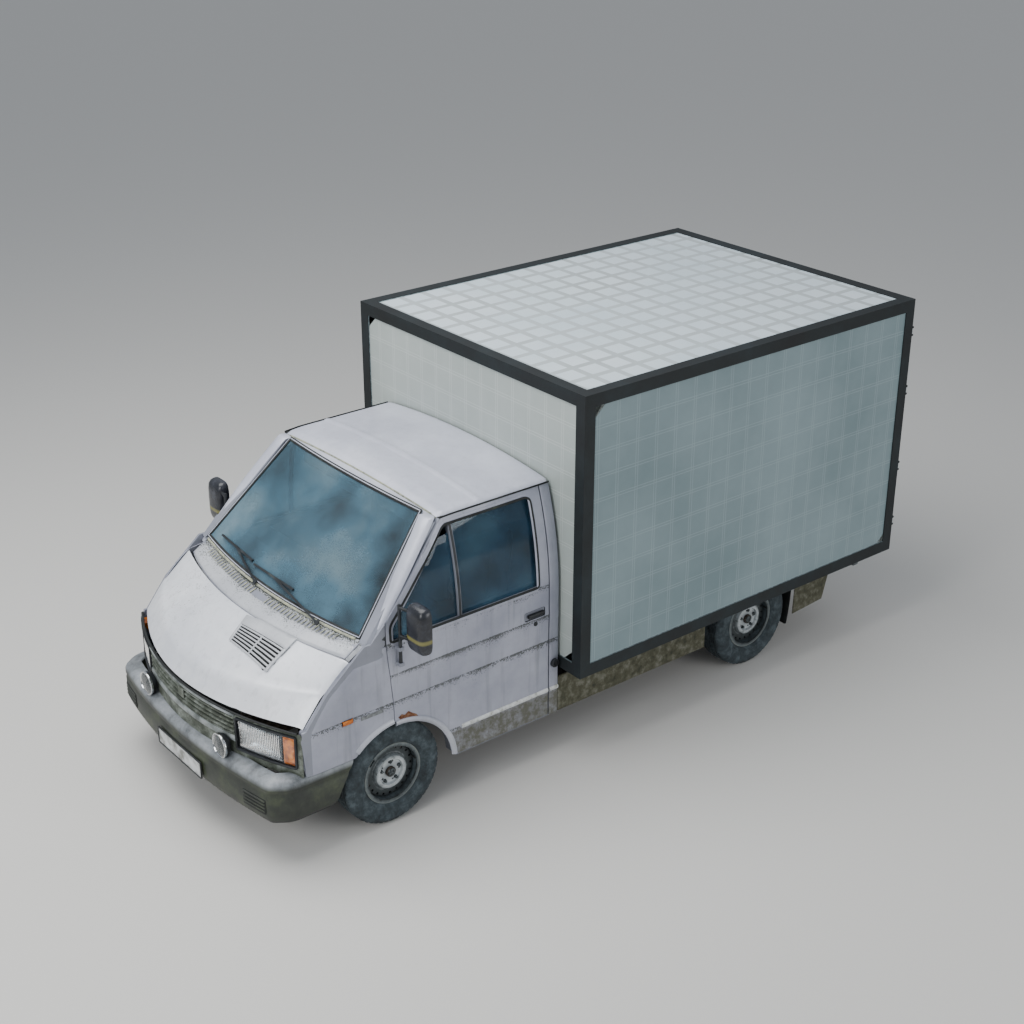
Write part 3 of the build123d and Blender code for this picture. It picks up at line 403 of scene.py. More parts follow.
def fit(piece, body, material, slot_name):
    """Paint a piece and fix it to its body; slot_name is not used."""
    piece.data.materials.clear()
    piece.data.materials.append(material)
    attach(piece, body)
    return piece


def paint_nodes(names, material):
    """Give the CAD pieces that stay in view their finish."""
    for name in names:
        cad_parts[name].data.materials.clear()
        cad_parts[name].data.materials.append(material)


def both_sides(piece, name, bodies, material, slot_name):
    """Fit a left piece and its mirror image."""
    twin = other_side(piece, name + "_right")
    piece.name = name + "_left"
    fit(piece, bodies[0], material, slot_name)
    fit(twin, bodies[1], material, slot_name)


def arch_arc(radius, start, end, steps=26):
    """Points along the wheel arch between two angles in degrees, 0 towards the rear and 90 upwards."""
    angles = [math.radians(start + (end - start) * k / steps) for k in range(steps + 1)]
    return [(arch_y + radius * math.cos(a), arch_z + radius * math.sin(a)) for a in angles]


crease_rows = [crease_height + d for d in (-0.012, -0.007, 0.0, 0.007, 0.012)]
cabs = ("chassis", "chassis")
wing_outline = [(-1.671, 1.196), (-1.671, 1.175), (-1.636, 0.822), (-1.6315, 0.684)]
wing_outline += arch_arc(arch_radius - 0.001, 93.7, 136)
wing_outline += [(-1.912, 0.556), (-2.227, 0.556), (-2.246, 0.64), (-2.253, 0.793), (-2.236, 0.848)]
wing_outline += [(y, seam_height(y) - 0.005) for y in np.linspace(-2.214, -1.912, 12)]
wing_outline += [(-1.82, 1.186), (-1.76, 1.196)]
wing = skin("wing", wing_outline, side_surface, pitch=0.028, rows=crease_rows)
both_sides(wing, "front_wing_skin", cabs, side_paint, "body_paint")

post_outline = rounded([(-0.473, 0.29), (-0.473, 1.822), (-0.404, 1.828), (-0.404, 0.29)], 0.006, 3)
post = skin("post", post_outline, side_surface, rows=crease_rows)
both_sides(post, "rear_post_skin", cabs, side_paint, "body_paint")
paint_nodes(("cab_side_left", "cab_side_right"), inner_paint)

# ---- Black sail panels --------------------------------------------------------------------------
# Moulded black triangle that closes the corner between the wing, the pillar and the door.
black_plastic = toned("grained_black_polypropylene", [(0.35, "14171A"), (0.6, "22262A"), (0.85, "4A4F4C")],
    9.0, 7.0, bump=0.3, depth=0.0006, grain=700.0, Roughness=0.5)
sail_outline = rounded([(-1.802, 1.202), (-1.672, 1.202), (-1.672, 1.332)], 0.008, 3)
both_sides(skin("sail", sail_outline, side_surface), "sail_panel", cabs, black_plastic, "black_plastic")

# ---- Doors --------------------------------------------------------------------------------------
# Pressed door skins hung 6 mm clear of the wings and posts, with an opening for the glass; each one
# keeps a light pressed strip below the glass, where the inner belt seal is fixed.
door_gap = 0.006
door_outline = [(-0.482, 0.297), (-0.482, 1.818)]
door_outline += rounded([(-0.482, 1.818), (-1.2, 1.818), (-1.667, 1.34), (-1.667, 1.175), (-1.631, 0.822),
    (-1.627, 0.684)], [0, 0.03, 0.05, 0.06, 0.2, 0], 6)[1:]
door_outline += arch_arc(arch_radius + door_gap, 93.1, 3.0)
door_outline += [(-1.189, 0.297)]
window_hole = rounded([(-0.557, 1.212), (-0.557, 1.778), (-1.195, 1.778), (-1.638, 1.314), (-1.638, 1.212)],
    [0.022, 0.045, 0.03, 0.03, 0.02], 6)
handle_y = -0.585
handle_z = 1.041
handle_hole = rounded(rectangle(handle_y - 0.085, handle_y + 0.075, handle_z - 0.03, handle_z + 0.03),
    0.014, 4)
doors = ("left_door", "right_door")
door_rows = crease_rows + [1.206, 1.19]
door = skin("door", door_outline, side_surface, holes=(window_hole, handle_hole), pitch=0.03,
    rows=door_rows)
both_sides(door, "door_skin", doors, door_paint, "body_paint")
paint_nodes(("door_left", "door_right"), inner_paint)


def strip(name, path, section, closed=False, angle=38):
    """Sweep a closed section, given as (out, up) pairs, along points that each carry out and up vectors."""
    rings = [[Vector(spot) + Vector(out) * a + Vector(up) * b for a, b in section]
        for spot, out, up in path]
    return loft(name, rings, closed=closed, angle=angle)


def along_side(outline, closed, proud=skin_proud, inward=True):
    """Stations on the cab side for strip(): out of the panel, and across the run in the panel."""
    stations = []
    count = len(outline)
    for index, (y, z) in enumerate(outline):
        before = outline[index - 1] if closed or index else outline[0]
        after = outline[(index + 1) % count] if closed or index < count - 1 else outline[-1]
        spot = side_surface(y, z, proud)
        run = (side_surface(*after, proud) - side_surface(*before, proud)).normalized()
        out = (side_surface(y, z + 0.01, proud) - spot).cross(side_surface(y + 0.01, z, proud) - spot)
        out = out.normalized() if out.x > 0 else -out.normalized()
        across = run.cross(out).normalized()
        stations.append((spot, out, across if inward else -across))
    return stations


def dense(points, pitch, closed=False):
    """Outline with extra points so that it follows the curved side."""
    result = []
    pairs = list(zip(points, points[1:] + points[:1])) if closed else list(zip(points, points[1:]))
    for a, b in pairs:
        count = max(1, math.ceil(math.dist(a, b) / pitch))
        result += [(a[0] + (b[0] - a[0]) * k / count, a[1] + (b[1] - a[1]) * k / count)
            for k in range(count)]
    return result if closed else result + [points[-1]]


def round_section(width, height, centre=(0, 0), sides=10):
    """Oval section for a seal or bead."""
    turn = 2 * math.pi / sides
    return [(centre[0] + height / 2 * math.cos(k * turn), centre[1] + width / 2 * math.sin(k * turn))
        for k in range(sides)]


rubber = toned("weathered_epdm_seal_rubber", [(0.4, "0E1011"), (0.62, "1B1F1E"), (0.8, "3B4233")], 14.0,
    6.0, bump=0.4, Roughness=0.72)

seal_loop = dense(window_hole, 0.03, closed=True)
window_seal = strip("window_seal", along_side(seal_loop, True), round_section(0.018, 0.009), closed=True)
both_sides(window_seal, "window_seal", doors, rubber, "black_plastic")
lip_loop = [(y * 0.985 - 0.0165, 1.495 + (z - 1.495) * 1.055) for y, z in window_hole]
lip_loop = dense(lip_loop, 0.03, closed=True)
bright_lip = strip("window_lip", along_side(lip_loop, True), round_section(0.02, 0.006), closed=True)
both_sides(bright_lip, "window_frame_bead", doors, side_paint, "body_paint")

# ---- Side mouldings and arch lips ---------------------------------------------------------------
# White PVC rubbing strip along the door's lower edge, and the rolled lip round the front wheel arch.
pale_plastic = toned("yellowed_white_pvc", [(0.34, "8A8A7C"), (0.46, "C3C4C2"), (0.7, "E1E3E4")], 24.0, 7.0,
    0.7, Roughness=0.45)
moulding_section = [(0.0, -0.014), (0.006, -0.012), (0.009, -0.006), (0.01, 0.0), (0.009, 0.006),
    (0.006, 0.012), (0.0, 0.014)]
for moulding_name, y_from, y_to, moulding_bodies in (("door_moulding", -1.150, -0.486, doors),
        ("post_moulding", -0.471, -0.405, cabs)):
    run = along_side(dense([(y_from, moulding_height), (y_to, moulding_height)], 0.06), False)
    both_sides(strip(moulding_name, run, moulding_section), moulding_name, moulding_bodies, pale_plastic,
        "grey_plastic")
lip_section = [(-0.004, -0.002), (0.006, -0.002), (0.012, 0.004), (0.013, 0.011), (0.01, 0.02),
    (0.004, 0.028), (-0.002, 0.034)]
arch_paint = weathered_paint("aged_silver_paint_on_the_arch_lip", "9A9DA8", "BFC1C8", algae=0.7, streak=0.3)
front_lip = strip("arch_lip", along_side(arch_arc(arch_radius, 94.5, 133), False), lip_section)
both_sides(front_lip, "wing_arch_lip", cabs, arch_paint, "body_paint")
rear_lip = strip("arch_lip", along_side(arch_arc(arch_radius + door_gap, 92.5, 4.5), False), lip_section)
both_sides(rear_lip, "door_arch_lip", doors, arch_paint, "body_paint")

# ---- Side glass ---------------------------------------------------------------------------------
# Drop glass and fixed quarter glass: 4 mm tempered glass with a blue-green tint, dusty at the foot, under
# a dark blue layer that is painted reflection and painted cab shade.
glass_thickness = 0.004


def glass_material(name, tint, dust_and_painted_reflection_tint, dust_and_painted_reflection_amount, gloss=0.03, low=0.0, high=0.0, cloud_scale=5.0, tones=None):
    """Automotive glass: tinted, clear where it was wiped, with dust that thickens towards low, in a rough
    layer whose blue tones are painted reflection and painted cab shade.
    """
    material, tree, shader = new_material(name, Roughness=gloss, IOR=1.45, Transmission_Weight=1.0)
    shader.inputs["Base Color"].default_value = shade(tint)
    where = add_node(tree, "TexCoord").outputs["Object"]
    film = add_node(tree, "TexNoise", where, Scale=cloud_scale, Detail=5.0, Roughness=0.55)
    grain = add_node(tree, "TexNoise", where, Scale=140.0, Detail=2.0)
    mixed = add_node(tree, "Math MULTIPLY_ADD", grain, 0.35, film)
    amount = add_node(tree, "MapRange", mixed, 0.5, 0.95, dust_and_painted_reflection_amount * 0.4, dust_and_painted_reflection_amount)
    if high > low:
        height = add_node(tree, "SeparateXYZ", where).outputs["Z"]
        foot = add_node(tree, "MapRange", height, low, high, 0.55, 0.0)
        foot = add_node(tree, "Math MULTIPLY", foot, film)
        amount = add_node(tree, "Math ADD", amount, foot, use_clamp=True)
        amount_out = amount
    else:
        amount_out = amount
    # The rough layer is partly dust and partly painted reflection: its blue tones stand in for the sky and
    # the dark cab seen in the glass.
    dust_and_painted_reflection_layer = add_node(tree, "BsdfPrincipled", Roughness=0.8)
    dust_and_painted_reflection_layer.inputs["Base Color"].default_value = shade(dust_and_painted_reflection_tint)
    if tones:
        patch = add_node(tree, "TexNoise", where, Scale=cloud_scale * 1.3, Detail=6.0)
        ramp = add_node(tree, "ValToRGB", patch, stops=[(p, t) for p, t in zip((0.32, 0.52, 0.7), tones)])
        feed(dust_and_painted_reflection_layer, "Base Color", ramp)
    blend = add_node(tree, "MixShader", amount_out, shader, dust_and_painted_reflection_layer)
    feed(tree.nodes["Material Output"], "Surface", blend)
    return material


side_glass = glass_material("blue_green_tempered_side_glass", "8DB9CB", "3C6073", 0.5, low=1.2, high=1.34,
    cloud_scale=2.0, tones=("16303E", "29506A", "456E84"))
glass_inset = -0.018
divider_y = -1.143
divider_half = 0.011
quarter_outline = rounded([(divider_y - divider_half, 1.214), (divider_y - divider_half, 1.716),
    (-1.262, 1.706), (-1.634, 1.316), (-1.634, 1.214)], 0.012, 3)
quarter = skin("quarter", quarter_outline, lambda y, z: side_surface(y, z, glass_inset),
    sheet=glass_thickness, pitch=0.06, edge=0.0005)
both_sides(quarter, "quarter_glass", doors, side_glass, "glass")
paint_nodes(("window_left", "window_right"), side_glass)
divider_run = along_side(dense([(divider_y, 1.212), (divider_y, 1.776)], 0.05), False, proud=0.0)
divider_section = [(-0.03, -0.009), (0.0, -0.009), (0.003, -0.006), (0.003, 0.006), (0.0, 0.009),
    (-0.03, 0.009)]
both_sides(strip("divider", divider_run, divider_section), "window_divider", doors, black_plastic,
    "black_plastic")

# ---- Door handles and locks ---------------------------------------------------------------------
# Black polypropylene pull flap in a recessed cup, with a separate key lock in the skin below it.
handle_low, handle_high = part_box("handle_left")


def crowned_box(name, low, high, radius, segments=3, crown=0.0, crown_axis=0, taper=0.0):
    """Moulded block: a box with rounded edges, and one face swelling outwards."""
    low = Vector(low)
    high = Vector(high)
    mesh = bmesh.new()
    bmesh.ops.create_cube(mesh, size=1.0)
    bmesh.ops.subdivide_edges(mesh, edges=mesh.edges, cuts=5, use_grid_fill=True)
    centre = (low + high) / 2
    size = high - low
    for vertex in mesh.verts:
        part = vertex.co.copy()
        others = [k for k in range(3) if k != crown_axis]
        swell = (1 - (2 * part[others[0]]) ** 2) * (1 - (2 * part[others[1]]) ** 2)
        shrink = 1 - taper * (0.5 + part[crown_axis])
        for k in range(3):
            vertex.co[k] = centre[k] + size[k] * part[k] * (1 if k == crown_axis else shrink)
        if part[crown_axis] > 0.49:
            vertex.co[crown_axis] += crown * (swell - 1)
    sharp = [e for e in mesh.edges if len(e.link_faces) == 2 and e.calc_face_angle() > 0.9]
    bmesh.ops.bevel(mesh, geom=sharp, offset=radius, segments=segments, affect="EDGES", profile=0.5)
    bmesh.ops.recalc_face_normals(mesh, faces=mesh.faces)
    data = bpy.data.meshes.new(name)
    mesh.to_mesh(data)
    mesh.free()
    data.shade_smooth()
    data.set_sharp_from_angle(angle=math.radians(40))
    piece = bpy.data.objects.new(name, data)
    bpy.context.scene.collection.objects.link(piece)
    return piece


def revolve(name, profile, centre, axis, sides=48, angle=35):
    """Turned piece: a profile of (radius, height) pairs revolved about an axis through centre."""
    axis = Vector(axis).normalized()
    turn = axis.to_track_quat("Z", "Y").to_matrix()
    turns = [2 * math.pi * k / sides for k in range(sides)]
    rings = [[Vector(centre) + turn @ Vector((radius * math.cos(a), radius * math.sin(a), height))
        for a in turns] for radius, height in profile]
    return loft(name, rings, profile[0] != profile[-1], angle=angle, merge=1e-06)


cup_points = []
cup_rings = ((0.004, 1.0), (-0.004, 0.97), (-0.02, 0.9), (-0.024, 0.8), (-0.025, 0.0))
for depth, share in cup_rings:
    for y, z in handle_hole:
        cy = handle_y - 0.005 + (y - handle_y + 0.005) * share
        cz = handle_z + (z - handle_z) * share
        cup_points.append(side_surface(cy, cz, depth))
cup_count = len(handle_hole)
cup_faces = [(r * cup_count + k, r * cup_count + (k + 1) % cup_count,
    (r + 1) * cup_count + (k + 1) % cup_count, (r + 1) * cup_count + k) for r in range(len(cup_rings) - 1)
    for k in range(cup_count)]
cup = build("cup", cup_points, cup_faces)
recalculate(cup, 1e-05)
both_sides(thicken(cup, 0.002, 0), "handle_cup", doors, black_plastic, "black_plastic")
flap = crowned_box("flap", (handle_low.x, handle_low.y + 0.002, handle_low.z + 0.002),
    (handle_high.x, handle_high.y - 0.002, handle_high.z - 0.002), 0.005, crown=0.003)
both_sides(flap, "handle_flap", ("left_handle", "right_handle"), black_plastic, "black_plastic")
for side, flap_name in (("left", "handle_flap_left"), ("right", "handle_flap_right")):
    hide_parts("handle_" + side)
lock_z = 0.975
lock_x = side_surface(handle_y, lock_z).x
bright_steel, bright_tree, bright_shader = new_material("zinc_plated_steel", Metallic=1.0, Roughness=0.3)
bright_shader.inputs["Base Color"].default_value = shade("B9BDC0")
bright_where = add_node(bright_tree, "TexCoord").outputs["Object"]
bright_cloud = add_node(bright_tree, "TexNoise", bright_where, Scale=60.0, Detail=5.0)
bright_rough = add_node(bright_tree, "MapRange", bright_cloud, 0.3, 0.7, 0.18, 0.5)
feed(bright_shader, "Roughness", bright_rough)
lock = revolve("lock", [(0.0001, 0.004), (0.006, 0.004), (0.0075, 0.006), (0.0135, 0.005), (0.0145, 0.003),
    (0.0145, -0.006), (0.0001, -0.006)], (lock_x, handle_y, lock_z), (1, 0, 0), 24)
both_sides(lock, "door_lock", doors, black_plastic, "black_plastic")

# ---- Fuel filler cap ----------------------------------------------------------------------------
# Round black locking cap in the rear post, with a grip bar across it.
cap_low, cap_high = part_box("fuel_cap")
cap_centre = (cap_low + cap_high) / 2
cap_radius = (cap_high.z - cap_low.z) / 2
cap_x = cap_high.x
cap_base_x = cap_low.x
fuel_cap = revolve("fuel_cap_moulding", [(0.0001, 0.0), (cap_radius * 0.62, 0.0),
    (cap_radius * 0.68, 0.004), (cap_radius * 0.9, 0.004), (cap_radius, 0.001),
    (cap_radius, cap_base_x - cap_x + 0.001), (0.0001, cap_base_x - cap_x + 0.001)],
    (cap_x - 0.004, cap_centre[1], cap_centre[2]), (1, 0, 0), 40)
fit(fuel_cap, "cap", black_plastic, "black_plastic")
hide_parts("fuel_cap")
cap_grip = crowned_box("fuel_cap_grip", (cap_x - 0.006, cap_centre[1] - 0.005,
    cap_centre[2] - cap_radius * 0.58), (cap_x + 0.004, cap_centre[1] + 0.005,
    cap_centre[2] + cap_radius * 0.58), 0.003)
fit(cap_grip, "cap", black_plastic, "black_plastic")

# ---- Windscreen pillars -------------------------------------------------------------------------
# Pressed screen pillars, painted with the cab, swept from the scuttle corner to the roof corner.
pillar_foot = ((0.858, -1.803), (0.896, -1.812), (0.922, -1.8), (0.933, -1.778), (0.906, -1.752),
    (0.86, -1.752))
pillar_head = ((0.716, -1.268), (0.768, -1.272), (0.806, -1.262), (0.818, -1.232), (0.796, -1.212),
    (0.722, -1.212))
foot_height = 1.205
head_height = 1.822
pillar_path = []
for step in range(13):
    share = step / 12
    swell = 0.02 * math.sin(math.pi * share)
    height = foot_height + (head_height - foot_height) * share
    pillar_path.append([Vector((fx + (hx - fx) * share + swell, fy + (hy - fy) * share - swell * 0.3,
        height)) for (fx, fy), (hx, hy) in zip(pillar_foot, pillar_head)])
pillar_sides = len(pillar_foot)
pillar_points = [point for ring in pillar_path for point in ring]
pillar_faces = [(r * pillar_sides + k, r * pillar_sides + (k + 1) % pillar_sides,
    (r + 1) * pillar_sides + (k + 1) % pillar_sides, (r + 1) * pillar_sides + k) for r in range(12)
    for k in range(pillar_sides)]
pillar_faces += [tuple(reversed(range(pillar_sides))), tuple((12 * pillar_sides + k
    for k in range(pillar_sides)))]
pillar = build("pillar", pillar_points, pillar_faces)
both_sides(thicken(pillar, 0, 0.004, 50), "screen_pillar", cabs, roof_paint, "body_paint")

# ---- Cab roof -----------------------------------------------------------------------------------
# One steel pressing with a raised cross seam, turned down at its edges into drip gutters that are
# coloured black as painted shade of the gap under the roof edge.
roof_low, roof_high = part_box("cab_roof")
roof_front = roof_low.y
roof_rear = roof_high.y
roof_seam_y = -0.905
roof_rows = 46
roof_columns = 48


def roof_height(share, y):
    """Height of the roof skin: share runs from -1 to 1 across, with rounded edges and a raised seam."""
    back = min(1.0, (y - roof_front) / 0.118)
    crown = 1.852 + 0.022 * back + 0.01 * max(0.0, (y + 1.09) / 0.688)
    edge = 1.83 + 0.006 * back
    height = edge + (crown - edge) * (1 - share * share) + 0.004
    height += 0.009 * math.exp(-((y - roof_seam_y) / 0.012) ** 2)
    height -= 0.022 * max(0.0, abs(share) - 0.955) ** 2 / 0.045 ** 2
    height -= 0.016 * math.exp(-((y - roof_front) / 0.02) ** 2)
    height -= 0.006 * math.exp(-((y - roof_rear) / 0.01) ** 2)
    return height


def grid_skin(name, rows, columns, place, sheet, edge=0.0, angle=38):
    """Skin of a grid of points; place(row share, column share) gives each point."""
    points = [place(r / rows, c / columns) for r in range(rows + 1) for c in range(columns + 1)]
    width = columns + 1
    faces = [(r * width + c, r * width + c + 1, (r + 1) * width + c + 1, (r + 1) * width + c)
        for r in range(rows) for c in range(columns)]
    return thicken(build(name, points, faces), sheet, edge, angle)


def roof_point(row, column):
    """Point of the roof skin."""
    y = roof_front + (roof_rear - roof_front) * row
    share = 2 * column - 1
    share = math.copysign(1 - (1 - abs(share)) ** 1.35, share)
    half = 0.818 + 0.006 * min(1.0, (y - roof_front) / 0.118)
    return Vector((share * half, y + 0.006 * (1 - share * share), roof_height(share, y)))


roof = grid_skin("cab_roof_skin", roof_rows, roof_columns, roof_point, 0.003)
turn_out(roof, 2)
fit(roof, "chassis", roof_paint, "body_paint")
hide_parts("cab_roof")
gutter_path = []
for y in np.linspace(roof_front + 0.004, roof_rear, 24):
    half = 0.818 + 0.006 * min(1.0, (y - roof_front) / 0.118)
    gutter_path.append((Vector((half, y, 1.815 + 0.006 * min(1.0, (y - roof_front) / 0.118))),
        Vector((1, 0, 0)), Vector((0, 0, 1))))
gutter_section = [(-0.012, 0.0), (0.009, 0.0), (0.011, 0.002), (0.011, 0.012), (0.008, 0.012),
    (0.008, 0.004), (-0.012, 0.004)]
# Painted shade: the gutter strips take the black rubber finish to stand in for the dark shadow gap along
# the roof edge.
both_sides(strip("gutter", gutter_path, gutter_section), "drip_gutter", cabs, rubber, "black_plastic")
header_path = [(Vector((x, roof_front + 0.003 + 0.006 * (1 - (x / 0.8) ** 2),
    roof_height(x / 0.818, roof_front) - 0.004)), Vector((0, -1, 0)), Vector((0, 0, 1)))
    for x in np.linspace(-0.8, 0.8, 30)]
moss = toned("moss_and_silt_in_the_seams", [(0.32, "565B45"), (0.5, "9A9C8E"), (0.66, "B9B98F")], 38.0, 8.0,
    0.75, bump=0.9, depth=0.003, Roughness=0.95)
fit(strip("roof_header_bead", header_path, round_section(0.014, 0.01)), "chassis", moss, "body_paint")

# ---- Windscreen ---------------------------------------------------------------------------------
# Laminated bowed screen, grimy at its foot and under a blue-grey layer of painted reflection, held in a
# wide black rubber frame seal.
screen_foot = (1.25, 0.861, -1.88, -1.787)
screen_head = (1.832, 0.704, -1.257, -1.232)


def parabola(share, centre, side):
    """Value that runs from centre at share 0 to side at share 1 or -1."""
    return centre + (side - centre) * share * share


def screen_point(up, share, proud=0.0):
    """Point on the windscreen's outer face: up runs from foot to head, share from -1 to 1 across."""
    z, half, centre, side = (a + (b - a) * up for a, b in zip(screen_foot, screen_head))
    bulge = 0.016 * math.sin(math.pi * min(max(up, 0), 1)) * (1 - share * share)
    spot = Vector((share * half, parabola(share, centre, side) - bulge, z))
    return spot + Vector((0.12 * share, -0.68, 0.72)).normalized() * proud


windscreen_glass = glass_material("laminated_windscreen_glass_with_dust_and_painted_reflection", "8FB4C2", "6F8FA0", 0.62, low=1.24,
    high=1.5, cloud_scale=1.7, tones=("34454E", "55798B", "7A949F"))
screen_skin = grid_skin("windscreen_glass", 20, 32, lambda r, c: screen_point(r, 2 * c - 1), 0.006, 0.0)
if sum(face.normal.y * face.area for face in screen_skin.data.polygons if face.normal.z > 0.3) > 0:
    screen_skin.data.flip_normals()
fit(screen_skin, "chassis", windscreen_glass, "glass")
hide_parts("windscreen")
seal_edge = [(0.012, s) for s in np.linspace(-0.985, 0.985, 30)]
seal_edge += [(u, 0.985) for u in np.linspace(0.05, 0.95, 18)]
seal_edge += [(0.988, s) for s in np.linspace(0.985, -0.985, 30)]
seal_edge += [(u, -0.985) for u in np.linspace(0.95, 0.05, 18)]
seal_path = []
for index, (up, share) in enumerate(seal_edge):
    before = screen_point(*seal_edge[index - 1])
    after = screen_point(*seal_edge[(index + 1) % len(seal_edge)])
    out = Vector((0.12 * share, -0.68, 0.72)).normalized()
    seal_path.append((screen_point(up, share, 0.003), out, (after
        - before).normalized().cross(out).normalized()))
screen_seal = strip("windscreen_seal", seal_path, round_section(0.03, 0.011), closed=True)
fit(screen_seal, "chassis", rubber, "black_plastic")
trim_path = [(spot + out * 0.0045 + across * 0.002, out, across) for spot, out, across in seal_path]
screen_trim = strip("windscreen_seal_filler", trim_path, round_section(0.006, 0.005), closed=True)
fit(screen_trim, "chassis", roof_paint, "grey_plastic")

# ---- Cowl ---------------------------------------------------------------------------------------
# Fixed scuttle panel between the bonnet and the screen, with a louvred air slot; moss lies on it.
cowl_half = 0.88


def cowl_point(row, column):
    """Point of the cowl skin."""
    share = 2 * column - 1
    front = parabola(share, -2.05, -1.893)
    rear = parabola(share, -1.872, -1.778)
    y = front + (rear - front) * row
    z = parabola(share, 1.17, 1.176) + (1.247 - 1.17) * row
    z -= 0.012 * math.exp(-(row / 0.06) ** 2)
    z -= 0.009 * math.exp(-((row - 0.7) / 0.13) ** 2)
    z -= 0.03 * max(0.0, (abs(share) - 0.955) / 0.045) ** 2
    return Vector((share * cowl_half, y, z))


cowl_skin = grid_skin("cowl_skin", 22, 60, cowl_point, 0.002)
turn_out(cowl_skin, 2)
fit(cowl_skin, "chassis", cowl_paint, "body_paint")
paint_nodes(("cowl",), inner_paint)
moss_path = [(Vector((s * 0.855, parabola(s, -1.88, -1.787) - 0.01, 1.249)), Vector((0, -0.6, 0.8)),
    Vector((0, 0.8, 0.6))) for s in np.linspace(-0.97, 0.97, 60)]
moss_line = strip("cowl_moss_line", moss_path, round_section(0.016, 0.01))
fit(moss_line, "chassis", moss, "body_paint")
louvre_count = 44
louvre_points = []
louvre_faces = []
for index in range(louvre_count):
    share = -0.8 + 1.6 * index / (louvre_count - 1)
    if abs(share) < 0.06:
        continue
    spot = cowl_point(0.7, (share + 1) / 2)
    first = len(louvre_points)
    for dx, dy, dz in ((-0.004, -0.024, 0.001), (0.004, -0.024, 0.001), (0.004, 0.024, 0.015),
            (-0.004, 0.024, 0.015)):
        louvre_points += [spot + Vector((dx, dy, dz)), spot + Vector((dx, dy, dz + 0.003))]
    a = first
    louvre_faces += [(a, a + 2, a + 4, a + 6), (a + 1, a + 7, a + 5, a + 3), (a, a + 1, a + 3, a + 2),
        (a + 2, a + 3, a + 5, a + 4), (a + 4, a + 5, a + 7, a + 6), (a + 6, a + 7, a + 1, a)]
louvres = thicken(build("cowl_louvres", louvre_points, louvre_faces), 0, 0.0008)
fit(louvres, "chassis", moss, "body_paint")

# ---- Bonnet -------------------------------------------------------------------------------------
# Short pressing, painted nearly white as painted light on its lit top, crowned and bowed to the nose,
# with a soft crease above the lip; it opens about the cowl, so every piece on it rides with it.
bonnet_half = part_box("bonnet")[1].x - 0.001
bonnet_rear = (-2.058, -1.904, 1.18, 1.172)
bonnet_crease = (-2.402, -2.096, 0.966, 1.014)
bonnet_lip = (-2.478, -2.222, 0.856, 0.862)


def bonnet_point(row, share, proud=0.0025):
    """Point on the bonnet's outer face: row runs from the rear edge over the crease to the lip."""
    s2 = share * share
    (ry0, ry1, rz0, rz1), (cy0, cy1, cz0, cz1), (ly0, ly1, lz0, lz1) = (bonnet_rear, bonnet_crease,
        bonnet_lip)
    rear_y, rear_z = (ry0 + (ry1 - ry0) * s2, rz0 + (rz1 - rz0) * s2)
    crease_y, crease_z = (cy0 + (cy1 - cy0) * s2, cz0 + (cz1 - cz0) * s2)
    lip_y, lip_z = (ly0 + (ly1 - ly0) * s2, lz0 + (lz1 - lz0) * s2)
    knee = 0.74
    soft = 0.1
    first = np.array((rear_y, rear_z)) + (np.array((crease_y, crease_z)) - (rear_y, rear_z)) * (row / knee)
    second = np.array((crease_y, crease_z)) + (np.array((lip_y, lip_z)) - (crease_y,
        crease_z)) * (row - knee) / (1 - knee)
    mix = min(max((row - knee + soft) / (2 * soft), 0), 1)
    mix = mix * mix * (3 - 2 * mix)
    y, z = first * (1 - mix) + second * mix
    z += 0.013 * math.sin(math.pi * min(row / knee, 1)) * (1 - s2)
    y -= 0.004 * math.sin(math.pi * min(max((row - 0.6) / 0.4, 0), 1))
    fold = abs(abs(share) * bonnet_half - (0.585 - 0.09 * row))
    z += 0.0045 * math.exp(-(fold / 0.02) ** 2) * min(1.0, max(0.0, (row - 0.1) / 0.2))
    edge = max(0.0, (abs(share) - 0.965) / 0.035)
    z -= 0.01 * edge * edge
    rear_edge = max(0.0, 1 - row / 0.012)
    return Vector((share * bonnet_half, y, z - 0.003 * rear_edge + proud))


bonnet_skin = grid_skin("bonnet_skin", 60, 96, lambda r, c: bonnet_point(r,
    math.sin((2 * c - 1) * math.pi / 2) * 0.35 + (2 * c - 1) * 0.65), 0.003)
turn_out(bonnet_skin, 2)
bonnet_tree = bonnet_paint.node_tree
bonnet_where = add_node(bonnet_tree, "TexCoord").outputs["Object"]
scuff_spot = add_node(bonnet_tree, "VectorMath DISTANCE", bonnet_where, (-0.47, -2.13, 1.1))
scuff_area = add_node(bonnet_tree, "MapRange", scuff_spot, 0.1, 0.34, 1.0, 0.0)
scuff_noise = add_node(bonnet_tree, "TexNoise", bonnet_where, Scale=15.0, Detail=2.5, Distortion=2.2)
scuff_line = add_node(bonnet_tree, "Math SUBTRACT", scuff_noise, 0.585)
scuff_line = add_node(bonnet_tree, "Math ABSOLUTE", scuff_line)
scuff_mark = add_node(bonnet_tree, "MapRange", scuff_line, 0.004, 0.011, 0.75, 0.0)
scuff_mask = add_node(bonnet_tree, "Math MULTIPLY", scuff_mark, scuff_area)
bonnet_shader = bonnet_tree.nodes["Principled BSDF"]
painted = bonnet_shader.inputs["Base Color"].links[0].from_socket
scuffed = add_node(bonnet_tree, "Mix", scuff_mask, A=painted, B=shade("55564F"))
feed(bonnet_shader, "Base Color", scuffed)
fit(bonnet_skin, "bonnet_lid", bonnet_paint, "bonnet_paint")
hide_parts("bonnet")


